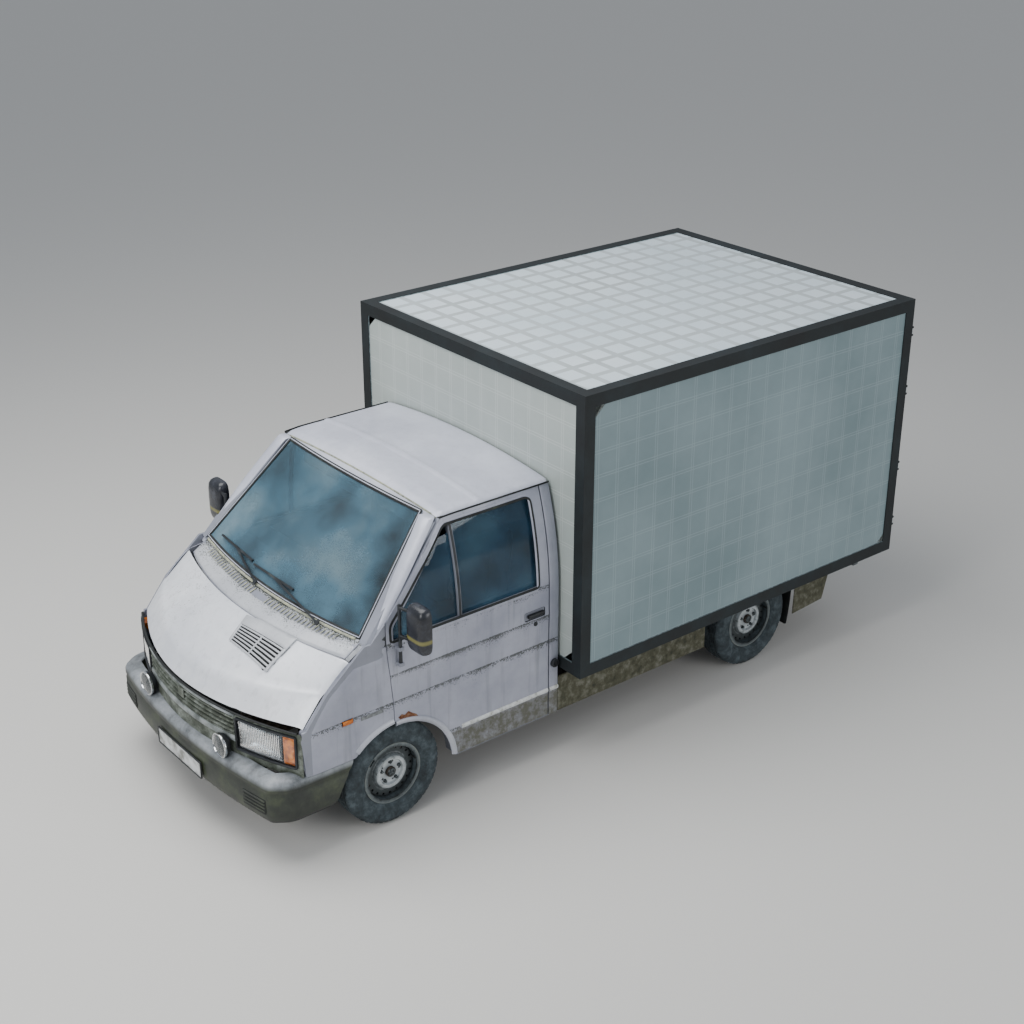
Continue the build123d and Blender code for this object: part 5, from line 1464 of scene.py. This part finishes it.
def side_place(r, c):
    """Point of the left wall panel."""
    return Vector((box_high.x - panel_inset + swollen(0.003, r, c), panel_start + panel_run * c,
        wall_low + (wall_high - wall_low) * r))


def front_place(r, c):
    """Point of the front wall panel."""
    return Vector(((2 * c - 1) * panel_reach, box_low.y + panel_inset - swollen(0.003, r, c),
        wall_low + (wall_high - wall_low) * r))


def roof_place(r, c):
    """Point of the roof panel."""
    return Vector(((2 * c - 1) * panel_reach, panel_start + panel_run * r,
        box_high.z - panel_inset + swollen(0.004, r, c)))


side_panel = grid_skin("side", 20, 30, side_place, 0.008)
both_sides(side_panel, "box_side_panel", cabs, side_laminate, "panel_laminate")
front_panel = grid_skin("box_front_panel", 20, 24, front_place, 0.008)
fit(front_panel, "chassis", front_laminate, "panel_laminate")
roof_panel = grid_skin("box_roof_panel", 24, 20, roof_place, 0.008)
fit(roof_panel, "chassis", roof_laminate, "panel_laminate")
paint_nodes(("box_panels",), front_laminate)
seal_half = box_high.x - panel_edge
seal_mid = (box_low.z + box_high.z) / 2
seal_rise = (wall_high - wall_low) / 2 - 0.004


def frame_seal(name, corners, out):
    """Bead of grey sealant in the corner between a panel and its frame angles."""
    centre = sum((Vector(c) for c in corners), Vector()) / 4
    path = []
    for corner in corners:
        reach = Vector(corner) - centre
        path.append((Vector(corner), Vector(out), Vector([math.copysign(1, v) if abs(v) > 0.1 else 0
            for v in reach])))
    return strip(name, path, [(-0.004, 0.003), (0.0, 0.003), (0.004, 0.0), (0.004, -0.001), (0.0, -0.005),
        (-0.004, -0.005)], closed=True, angle=20)


sealant = worn("grey_polyurethane_sealant", "3A4446", "5B686B", "7C8A8C", 40.0, 0.3, Roughness=0.6)
fit(frame_seal("front_panel_sealant", [(x, box_low.y + panel_inset, z)
    for x, z in rectangle(-seal_half, seal_half, seal_mid - seal_rise, seal_mid + seal_rise)], (0, -1, 0)),
    "chassis", sealant, "black_plastic")
both_sides(frame_seal("seal", [(box_high.x - panel_inset, y, z) for y, z in rectangle(box_low.y
    + panel_edge, box_high.y - panel_edge, seal_mid - seal_rise, seal_mid + seal_rise)], (1, 0, 0)),
    "side_panel_sealant", cabs, sealant, "black_plastic")
fit(frame_seal("roof_panel_sealant", [(x, y, box_high.z - panel_inset)
    for x, y in rectangle(-seal_half, seal_half, box_low.y + panel_edge, box_high.y - panel_edge)],
    (0, 0, 1)), "chassis", sealant, "black_plastic")

# ---- Rear doors ---------------------------------------------------------------------------------
# Two sandwich leaves with aluminium skins, rubber edge seals, steel strap hinges and cam lock rods.
door_laminate = laminate("grey_rear_door_skin", "8E999B", "A0AAAB", "AEB7B8", 0.155, 0.002, 0.009, (0, 2),
    (0.4, 0.2), 0.5)
hinge_steel = worn("galvanised_strap_steel", "5C6468", "868E91", "A9AFB1", 22.0, 0.3, Metallic=0.9,
    Roughness=0.45)
paint_nodes(("rear_door_left", "rear_door_right"), door_laminate)
paint_nodes(("lock_bar_left", "lock_bar_right"), hinge_steel)
leaf_face = 2.505
leaf_outline = rounded(rectangle(0.012, 1.04, 0.698, 2.356), 0.012, 3)
leaves = ("left_rear_door", "right_rear_door")
leaf_seal_path = flat_loop(leaf_outline, leaf_face, (0, 1, 0))
both_sides(strip("leaf_seal", leaf_seal_path, round_section(0.016, 0.01), closed=True), "rear_door_seal",
    leaves, rubber, "black_plastic")
for number, strap_z in enumerate((0.820, 1.240, 1.800, 2.220)):
    strap_rings = []
    for x, half, proud in ((1.100, 0.019, 0.016), (1.040, 0.019, 0.016), (0.960, 0.018, 0.014),
            (0.860, 0.015, 0.012), (0.800, 0.012, 0.011), (0.790, 0.007, 0.009)):
        strap_rings.append([Vector((x, leaf_face + d, strap_z + h))
            for d, h in ((0.0, -half), (proud - 0.003, -half), (proud, -half * 0.8), (proud, half * 0.8),
            (proud - 0.003, half), (0.0, half))])
    both_sides(loft("strap", strap_rings, angle=30), f"strap_hinge_{number + 1}", leaves, hinge_steel,
        "bare_steel")
    bolt_parts = [revolve("bolt", [(0.0001, 0.005), (0.005, 0.0045), (0.008, 0.001), (0.008, -0.003),
        (0.0001, -0.003)], (x, leaf_face + 0.014, strap_z), (0, 1, 0), 12) for x in (0.84, 0.92, 1.0)]
    both_sides(join(bolt_parts, "bolts"), f"strap_bolts_{number + 1}", leaves, bright_steel, "bare_steel")

# ---- Tyres --------------------------------------------------------------------------------------
# Steel-belted commercial tyres: five rib rows cut by cross sipes, ribbed shoulders, dusty sidewalls.
tyre_rubber = worn("dusty_tyre_rubber", "23292C", "333C40", "515C61", 15.0, 0.4, 300.0, Roughness=0.9)
wheels = (("front_left", 1, -1.64), ("front_right", -1, -1.64), ("rear_left", 1, 1.344),
    ("rear_right", -1, 1.344))
tyre_side = [(0.178, 0.0712), (0.1975, 0.0715), (0.2, 0.079), (0.206, 0.085), (0.216, 0.091),
    (0.2185, 0.094), (0.2215, 0.094), (0.2245, 0.092), (0.252, 0.0972), (0.28, 0.0965), (0.284, 0.098),
    (0.29, 0.0975), (0.302, 0.0925), (0.314, 0.086), (0.323, 0.079), (0.329, 0.072)]
tread_marks = (0.066, 0.06, 0.0585, 0.052, 0.0505, 0.04, 0.03, 0.02, 0.0185, 0.011, 0.0095, 0.0)
tyre_profile = [(r, w, 0) for r, w in tyre_side]
tyre_profile += [(0.3325 - 14 * w ** 3, w, 1 if not (0.0505 <= w <= 0.06 or 0.0095 <= w <= 0.0185) else 2)
    for w in tread_marks]
tyre_profile += [(r, -w, kind) for r, w, kind in reversed(tyre_profile[:-1])]
tyre_profile += [(0.172, -0.066, 0), (0.172, 0.066, 0)]
tyre_around = 216


def tyre_points(centre):
    """Rings of the tyre about its axle, with grooves and sipes sunk into the tread."""
    points = []
    for k in range(tyre_around):
        angle = 2 * math.pi * k / tyre_around
        for radius, width, kind in tyre_profile:
            sunk = 0.0
            if kind == 2 and 0.0515 < abs(width) < 0.0595 or kind == 2 and 0.0105 < abs(width) < 0.0180:
                sunk = 0.0075
            elif kind == 1 and (k + (2 if abs(width) > 0.03 else 0)) % 4 == 0:
                sunk = 0.006
            elif kind == 0 and radius > 0.310 and k % 4 == 2:
                sunk = 0.004
            r = radius - sunk
            points.append(Vector((centre[0] + width, centre[1] + r * math.cos(angle),
                centre[2] + r * math.sin(angle))))
    return points


tyre_ring = len(tyre_profile)
tyre_faces = [(k * tyre_ring + p, k * tyre_ring + (p + 1) % tyre_ring,
    (k + 1) % tyre_around * tyre_ring + (p + 1) % tyre_ring, (k + 1) % tyre_around * tyre_ring + p)
    for k in range(tyre_around) for p in range(tyre_ring)]
for wheel_name, wheel_side, axle_y in wheels:
    low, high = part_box("tyre_" + wheel_name)
    wheel_centre = (low + high) / 2
    tyre = build("tyre_carcass_" + wheel_name, tyre_points(wheel_centre), tyre_faces)
    if tyre.data.polygons[tyre_ring + 20].normal.dot(tyre.data.polygons[tyre_ring + 20].center
            - wheel_centre) < 0:
        tyre.data.flip_normals()
    tyre.data.shade_smooth()
    tyre.data.set_sharp_from_angle(angle=math.radians(32))
    fit(tyre, wheel_name + "_wheel", tyre_rubber, "tyre_rubber")
    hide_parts("tyre_" + wheel_name)

# ---- Wheels -------------------------------------------------------------------------------------
# Pressed steel wheels toned in rings out from the hub: silver outer well, dark vented band, brighter
# dome, with dark stains; five bolts and valve.
def wheel_steel(name, axle_y, axle_z):
    """Painted wheel steel in lighter and darker rings by distance from the hub, with dark stains over it.
    """
    material, tree, shader = new_material(name, Metallic=0.5, Roughness=0.42)
    where = add_node(tree, "TexCoord").outputs["Object"]
    split = add_node(tree, "SeparateXYZ", where)
    flat = add_node(tree, "CombineXYZ", Y=split.outputs["Y"], Z=split.outputs["Z"])
    radius = add_node(tree, "VectorMath DISTANCE", flat, (0.0, axle_y, axle_z))
    cloud = add_node(tree, "TexNoise", where, Scale=24.0, Detail=8.0, Roughness=0.7)
    wander = add_node(tree, "Math MULTIPLY_ADD", cloud, 0.05, radius)
    zone = add_node(tree, "MapRange", wander, 0.0, 0.25, 0.0, 1.0)
    tone = add_node(tree, "ValToRGB", zone, stops=[(0.1, "5B6265"), (0.22, "9AA1A4"), (0.42, "C3C9CB"),
        (0.53, "8E9597"), (0.6, "3E4446"), (0.78, "33383A"), (0.86, "6B7375"), (0.96, "9B9C90")])
    rust = add_node(tree, "MapRange", cloud, 0.56, 0.72, 0.0, 0.75)
    stained = add_node(tree, "Mix", rust, A=tone, B=shade("3A3F3C"))
    feed(shader, "Base Color", stained)
    dents = add_node(tree, "Bump", Height=cloud, Strength=0.4, Distance=0.001)
    feed(shader, "Normal", dents)
    return material


front_wheel_steel = wheel_steel("grimy_front_wheel_steel", -1.64, 0.333)
rear_wheel_steel = wheel_steel("grimy_rear_wheel_steel", 1.344, 0.333)
paint_nodes(("rim_front_left", "rim_front_right"), front_wheel_steel)
paint_nodes(("rim_rear_left", "rim_rear_right"), rear_wheel_steel)
bolt_steel = worn("grimy_wheel_bolt_steel", "24282A", "3C4244", "7C8283", 80.0, 0.3, Metallic=0.7,
    Roughness=0.5)
for wheel_name, wheel_side, axle_y in wheels:
    low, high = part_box("tyre_" + wheel_name)
    face_x = (low.x + high.x) / 2 + wheel_side * 0.0475
    bolts = []
    for k in range(5):
        a = 2 * math.pi * k / 5 + 0.314
        spot = (face_x, axle_y + 0.065 * math.cos(a), 0.333 + 0.065 * math.sin(a))
        bolts.append(revolve("bolt", [(0.0001, 0.017), (0.006, 0.0165), (0.0092, 0.014), (0.0098, 0.004),
            (0.0125, 0.001), (0.0125, -0.002), (0.0001, -0.002)], spot, (wheel_side, 0, 0), 6, 30))
    fit(join(bolts, "wheel_bolts_" + wheel_name), wheel_name + "_wheel", bolt_steel, "bare_steel")
    cap = revolve("hub_cap_" + wheel_name, [(0.0001, 0.026), (0.014, 0.025), (0.024, 0.02), (0.0285, 0.01),
        (0.03, 0.002), (0.03, -0.01), (0.0001, -0.01)], (face_x, axle_y, 0.333), (wheel_side, 0, 0), 40)
    fit(cap, wheel_name + "_wheel", bolt_steel, "bare_steel")
    valve = revolve("tyre_valve_" + wheel_name, [(0.0001, 0.034), (0.0035, 0.034), (0.004, 0.03),
        (0.004, 0.02), (0.0055, 0.016), (0.0055, 0.0), (0.0001, 0.0)],
        (face_x, axle_y + 0.16, 0.333 + 0.04), (wheel_side, 0, 0), 16)
    fit(valve, wheel_name + "_wheel", rubber, "black_plastic")
    balance = [(Vector((face_x + wheel_side * 0.032, axle_y + 0.187 * math.cos(a),
        0.333 + 0.187 * math.sin(a))), Vector((wheel_side, 0, 0)), Vector((0, math.cos(a), math.sin(a))))
        for a in np.linspace(2.3, 2.55, 8)]
    fit(strip("balance_weight_" + wheel_name, balance, [(-0.004, -0.004), (0.003, -0.004), (0.005, 0.0),
        (0.003, 0.004), (-0.004, 0.004)]), wheel_name + "_wheel", bolt_steel, "bare_steel")

# ---- Side skirts, tail plates and mudflaps ------------------------------------------------------
# Sheet-steel skirts under the cargo box, caked in olive road film, and short plates behind the wheels.
skirt_film = worn("road_film_on_skirt_steel", "2C2D20", "4A4937", "75756A", 16.0, 0.4, 240.0,
    Roughness=0.75)
paint_nodes(("side_skirts",), skirt_film)
skirt_path = [(Vector((0.936, y, 0.537)), Vector((1, 0, 0)), Vector((0, 0, 1)))
    for y in np.linspace(-0.396, 0.886, 20)]
both_sides(strip("skirt_top", skirt_path, [(-0.006, -0.004), (0.002, -0.004), (0.004, 0.0), (0.002, 0.004),
    (-0.006, 0.004)]), "skirt_top_flange", cabs, skirt_film, "chassis_steel")
flap = skin("flap", rounded(rectangle(0.69, 0.925, 0.18, 0.52), 0.012, 3), lambda x,
    z: Vector((x, 1.735 - 0.03 * ((0.52 - z) / 0.34) ** 2, z)), 0.005, pitch=0.04)
both_sides(flap, "rear_mudflap", cabs, rubber, "black_plastic")

# ---- Side markers, badge plates and rust --------------------------------------------------------
# Small orange marker lamps and blank grey badge plates on the wings, and a rust patch on the arch.
marker_low, marker_high = (Vector((0.934, -1.984, 0.797)), Vector((0.946, -1.914, 0.827)))
marker = crowned_box("marker", marker_low, marker_high, 0.005, crown=0.003)
both_sides(marker, "side_marker", cabs, amber, "amber_lens")
paint_nodes(("signal_lamps",), amber)
badge_grey = worn("dull_grey_badge_plastic", "4C4E4E", "6F7273", "909495", 40.0, 0.3, Roughness=0.6)
badge = skin("badge", rounded(rectangle(-1.86, -1.706, 0.786, 0.81), 0.004, 3), lambda y,
    z: side_surface(y, z, 0.0075), 0.003)
both_sides(badge, "badge_plate_blank", cabs, badge_grey, "grey_plastic")
rust = worn("flaking_rust", "3A2115", "6B3F26", "A08466", 90.0, 0.9, Roughness=0.95)
rust_outline = [(arch_y + (arch_radius + 0.006 + w) * math.cos(math.radians(a)),
    arch_z + (arch_radius + 0.006 + w) * math.sin(math.radians(a)))
    for a, w in ((70, 0.0), (76, 0.0), (82, 0.0), (88, 0.0), (90, 0.02), (87, 0.034), (84, 0.024),
    (81, 0.042), (77, 0.026), (73, 0.016))]
rust_patch = skin("arch_rust_patch", rust_outline[::-1], lambda y, z: side_surface(y, z, 0.0056), 0.0,
    pitch=0.01, edge=0)
fit(rust_patch, "left_door", rust, "body_paint")

# ---- Rear bumper and tail lamps -----------------------------------------------------------------
# Galvanised channel bumper with rubber end caps, and moulded lamp clusters with red and amber fields.
rear_steel = worn("galvanised_bumper_steel", "4A5052", "757C7E", "999F9F", 14.0, 0.3, Metallic=0.7,
    Roughness=0.5)
paint_nodes(("rear_bumper",), rear_steel)
red_lens = worn("red_acrylic_lens", "5A0E0C", "94160F", "B93226", 30.0, 0.0, Roughness=0.2)
clear_lens = worn("clear_acrylic_lens", "9DA2A3", "C9CDCE", "E2E4E4", 30.0, 0.0, Roughness=0.2)
for name, x_low, x_high, lens_material, lens_slot in (("stop", 0.790, 0.874, red_lens, "amber_lens"),
        ("turn", 0.716, 0.786, amber, "amber_lens"), ("reverse", 0.646, 0.712, clear_lens, "lamp_glass")):
    lens = crowned_box("lens", (x_low, 2.4765, 0.434), (x_high, 2.49, 0.506), 0.004, crown=0.004,
        crown_axis=1)
    both_sides(lens, f"tail_{name}_lens", cabs, lens_material, lens_slot)

# ---- Chassis and running gear -------------------------------------------------------------------
# Painted ladder frame, forged and cast suspension parts, and the tank: all under oily road film.
frame_steel = worn("oily_chassis_steel", "0F1011", "1D1E1D", "37352E", 12.0, 0.4, 200.0, Roughness=0.7)
cast_iron = worn("rusted_cast_iron", "1E1A17", "3B332C", "5A4F44", 30.0, 0.6, 260.0, Metallic=0.3,
    Roughness=0.75)
paint_nodes(("chassis_frame", "fuel_tank", "front_suspension"), frame_steel)
paint_nodes(("knuckle_left", "knuckle_right", "rear_axle", "leaf_springs", "engine"), cast_iron)
pipe_spots = [Vector(p) for p in ((0.23, -1.35, 0.4), (0.25, -0.9, 0.33), (0.3, -0.2, 0.32),
    (0.33, 0.5, 0.32), (0.33, 1.0, 0.34), (0.34, 1.36, 0.56), (0.38, 1.76, 0.38), (0.4, 2.3, 0.35))]
pipe_steel = worn("rusty_exhaust_steel", "2A1C14", "4B3526", "6E5A48", 40.0, 0.6, Metallic=0.4,
    Roughness=0.8)
pipe_path = []
for index in range(len(pipe_spots) - 1):
    p0 = pipe_spots[max(index - 1, 0)]
    p1, p2 = (pipe_spots[index], pipe_spots[index + 1])
    p3 = pipe_spots[min(index + 2, len(pipe_spots) - 1)]
    for t in np.linspace(0, 1, 10, endpoint=False):
        pipe_path.append(0.5 * (2 * p1 + (p2 - p0) * t + (2 * p0 - 5 * p1 + 4 * p2 - p3) * t * t
            + (3 * p1 - p0 - 3 * p2 + p3) * t ** 3))
pipe_rings = []
for index, spot in enumerate(pipe_path):
    run = (pipe_path[min(index + 1, len(pipe_path) - 1)] - pipe_path[max(index - 1, 0)]).normalized()
    side_axis = run.cross(Vector((0, 0, 1))).normalized()
    up_axis = side_axis.cross(run)
    swell = 0.022 + 0.05 * (1 if 0.0 < spot.y < 0.55 else 0)
    pipe_rings.append([spot + side_axis * swell * math.cos(a) + up_axis * swell * 0.8 * math.sin(a)
        for a in np.linspace(0, 2 * math.pi, 20, endpoint=False)])
fit(loft("exhaust_pipe", pipe_rings), "chassis", pipe_steel, "bare_steel")

# ---- Seats --------------------------------------------------------------------------------------
# Foam seats in blue-grey woven cloth: fluted centre panels between raised bolsters, with piped seams.
seat_cloth = worn("blue_grey_seat_cloth", "12303F", "1B4256", "28566B", 20.0, 0.2, 900.0, Roughness=0.9)
piping_cloth = worn("dark_seat_piping", "0C161C", "14222A", "22343C", 60.0, 0.3, Roughness=0.8)


def cushion(name, centre, size, axes, flutes, bolster, crown, rows=30, columns=36):
    """Stuffed pad: a rounded slab with a fluted, crowned face between two bolsters.

    axes are the pad's across, along and out directions; size is measured along them."""
    across, along, out = (Vector(a).normalized() for a in axes)
    width, length, depth = size
    layers = []
    for v in np.linspace(-1, 1, rows):
        ring = []
        for k in range(columns * 2):
            a = 2 * math.pi * k / (columns * 2)
            c, s = (math.cos(a), math.sin(a))
            u = math.copysign(abs(c) ** 0.42, c)
            w = math.copysign(abs(s) ** 0.5, s)
            ends = (1 - abs(v) ** 5) ** 0.3
            squeeze = 0.8 + 0.2 * ends
            lift = 0.0
            if w > 0:
                edge = max(0.0, abs(u) - 0.62) / 0.38
                lift = bolster * math.sin(math.pi * min(edge * 1.1, 1)) + crown * (1 - u * u) * (1 - v * v)
                if abs(u) < 0.60:
                    lift -= 0.006 * (0.5 + 0.5 * math.cos(math.pi * flutes * (v + 1))) ** 6
                lift -= 0.01 * math.exp(-((abs(u) - 0.61) / 0.035) ** 2)
                lift *= w
            ring.append(centre + across * (u * width / 2 * squeeze) + along * (v * length / 2) + out
                * (w * depth / 2 * ends + lift * ends))
        layers.append(ring)
    return loft(name, layers, angle=60)


for seat_side, seat_x, seat_body in (("driver", 0.440, "driver_seat_slide"),
        ("passenger", -0.440, "chassis")):
    lean = Vector((0, 0.17, 0.985)).normalized()
    face = Vector((0, -0.985, 0.17)).normalized()
    base_pad = cushion(seat_side + "_seat_cushion", Vector((seat_x, -0.835, 0.815)), (0.5, 0.5, 0.15),
        ((1, 0, 0), (0, 1, 0), (0, 0, 1)), 5, 0.022, 0.014)
    back_pad = cushion(seat_side + "_seat_back", Vector((seat_x, -0.625, 1.18)), (0.5, 0.66, 0.11),
        ((1, 0, 0), lean, face), 6, 0.024, 0.01)
    head_pad = cushion(seat_side + "_headrest", Vector((seat_x, -0.56, 1.632)), (0.26, 0.185, 0.105),
        ((1, 0, 0), (0, 0.05, 1), (0, -1, 0.05)), 1, 0.0, 0.006)
    for pad in (base_pad, back_pad, head_pad):
        fit(pad, seat_body, seat_cloth, "seat_fabric")
    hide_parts(seat_side + "_seat")
    for stem_x in (-0.055, 0.055):
        stem = revolve(f"{seat_side}_headrest_stem_{'a' if stem_x < 0 else 'b'}",
            [(0.0001, 0.0), (0.0055, 0.001), (0.006, 0.004), (0.006, 0.130), (0.0001, 0.131)],
            (seat_x + stem_x, -0.562, 1.455), (0, 0, 1), 16)
        fit(stem, seat_body, bright_steel, "bare_steel")
    piping = [(Vector((seat_x + x, y, 0.822)), Vector((x, y + 0.835, 0)).normalized(), Vector((0, 0, 1)))
        for x, y in [(p * 1.0, q - 0.835) for p, q in superellipse(0.5, 0.5, 6.0, 72)]]
    fit(strip(seat_side + "_seat_piping", piping, round_section(0.01, 0.01), closed=True), seat_body,
        piping_cloth, "seat_fabric")

# ---- Cab interior -------------------------------------------------------------------------------
# Floor mat, grained dashboard with hooded dials, wheel, pedals, levers and trim of the cab.
dash_plastic = worn("grained_charcoal_dashboard", "17191B", "25282A", "3A3E40", 8.0, 0.1, 480.0,
    Roughness=0.6)
mat = worn("ribbed_rubber_floor_mat", "101112", "1C1D1D", "35332D", 20.0, 0.5, 160.0, Roughness=0.85)
paint_nodes(("dashboard", "steering_wheel", "gear_lever", "handbrake"), dash_plastic)
paint_nodes(("cab_floor", "seat_base"), mat)
paint_nodes(("cab_back",), inner_paint)
paint_nodes(("clutch_pedal", "brake_pedal", "accelerator_pedal"), frame_steel)
hood = grid_skin("instrument_hood", 12, 24, lambda r, c: Vector((0.44 + 0.19 * math.cos(math.pi * (1 - c))
    * (1 - 0.08 * r), -1.5 + 0.16 * r, 1.206 + 0.085 * math.sin(math.pi * c) ** 0.6
    * (1 - 0.15 * (1 - r)))), 0.006)
fit(hood, "chassis", dash_plastic, "black_plastic")
dial_face = worn("black_instrument_faces", "0A0B0C", "15171A", "30343A", 60.0, 0.0, Roughness=0.25)
for number, dial_x in enumerate((0.350, 0.530)):
    dial = revolve(f"dial_{number + 1}", [(0.0001, 0.002), (0.04, 0.002), (0.046, 0.006), (0.05, 0.006),
        (0.052, 0.0), (0.0001, 0.0)], (dial_x, -1.392, 1.236), (0, 0.94, 0.34), 36)
    fit(dial, "chassis", dial_face, "black_plastic")
for number, vent_x in enumerate((-0.700, -0.080, 0.080, 0.720)):
    slats = [crowned_box("slat", (vent_x - 0.055, -1.4, 1.15 + k * 0.012),
        (vent_x + 0.055, -1.335, 1.154 + k * 0.012), 0.001, 2) for k in range(4)]
    fit(join(slats, f"dash_vent_{number + 1}"), "chassis", dial_face, "black_plastic")
visor_card = worn("pale_grey_visor_vinyl", "9AA0A4", "B9BEC2", "CDD1D4", 30.0, 0.2, 300.0, Roughness=0.7)
for visor_side, visor_x in (("left", 0.400), ("right", -0.400)):
    visor = crowned_box("sun_visor_" + visor_side, (visor_x - 0.19, -1.215, 1.69),
        (visor_x + 0.19, -1.195, 1.8), 0.008)
    fit(visor, "chassis", visor_card, "grey_plastic")
rear_view = crowned_box("interior_mirror", (-0.12, -1.262, 1.7), (0.12, -1.24, 1.762), 0.009)
fit(rear_view, "chassis", visor_card, "grey_plastic")
paint_nodes(("box_floor",), worn("birch_plywood_floor", "5B4A35", "7C6748", "9A8460", 9.0, 0.3, 120.0,
    Roughness=0.7))
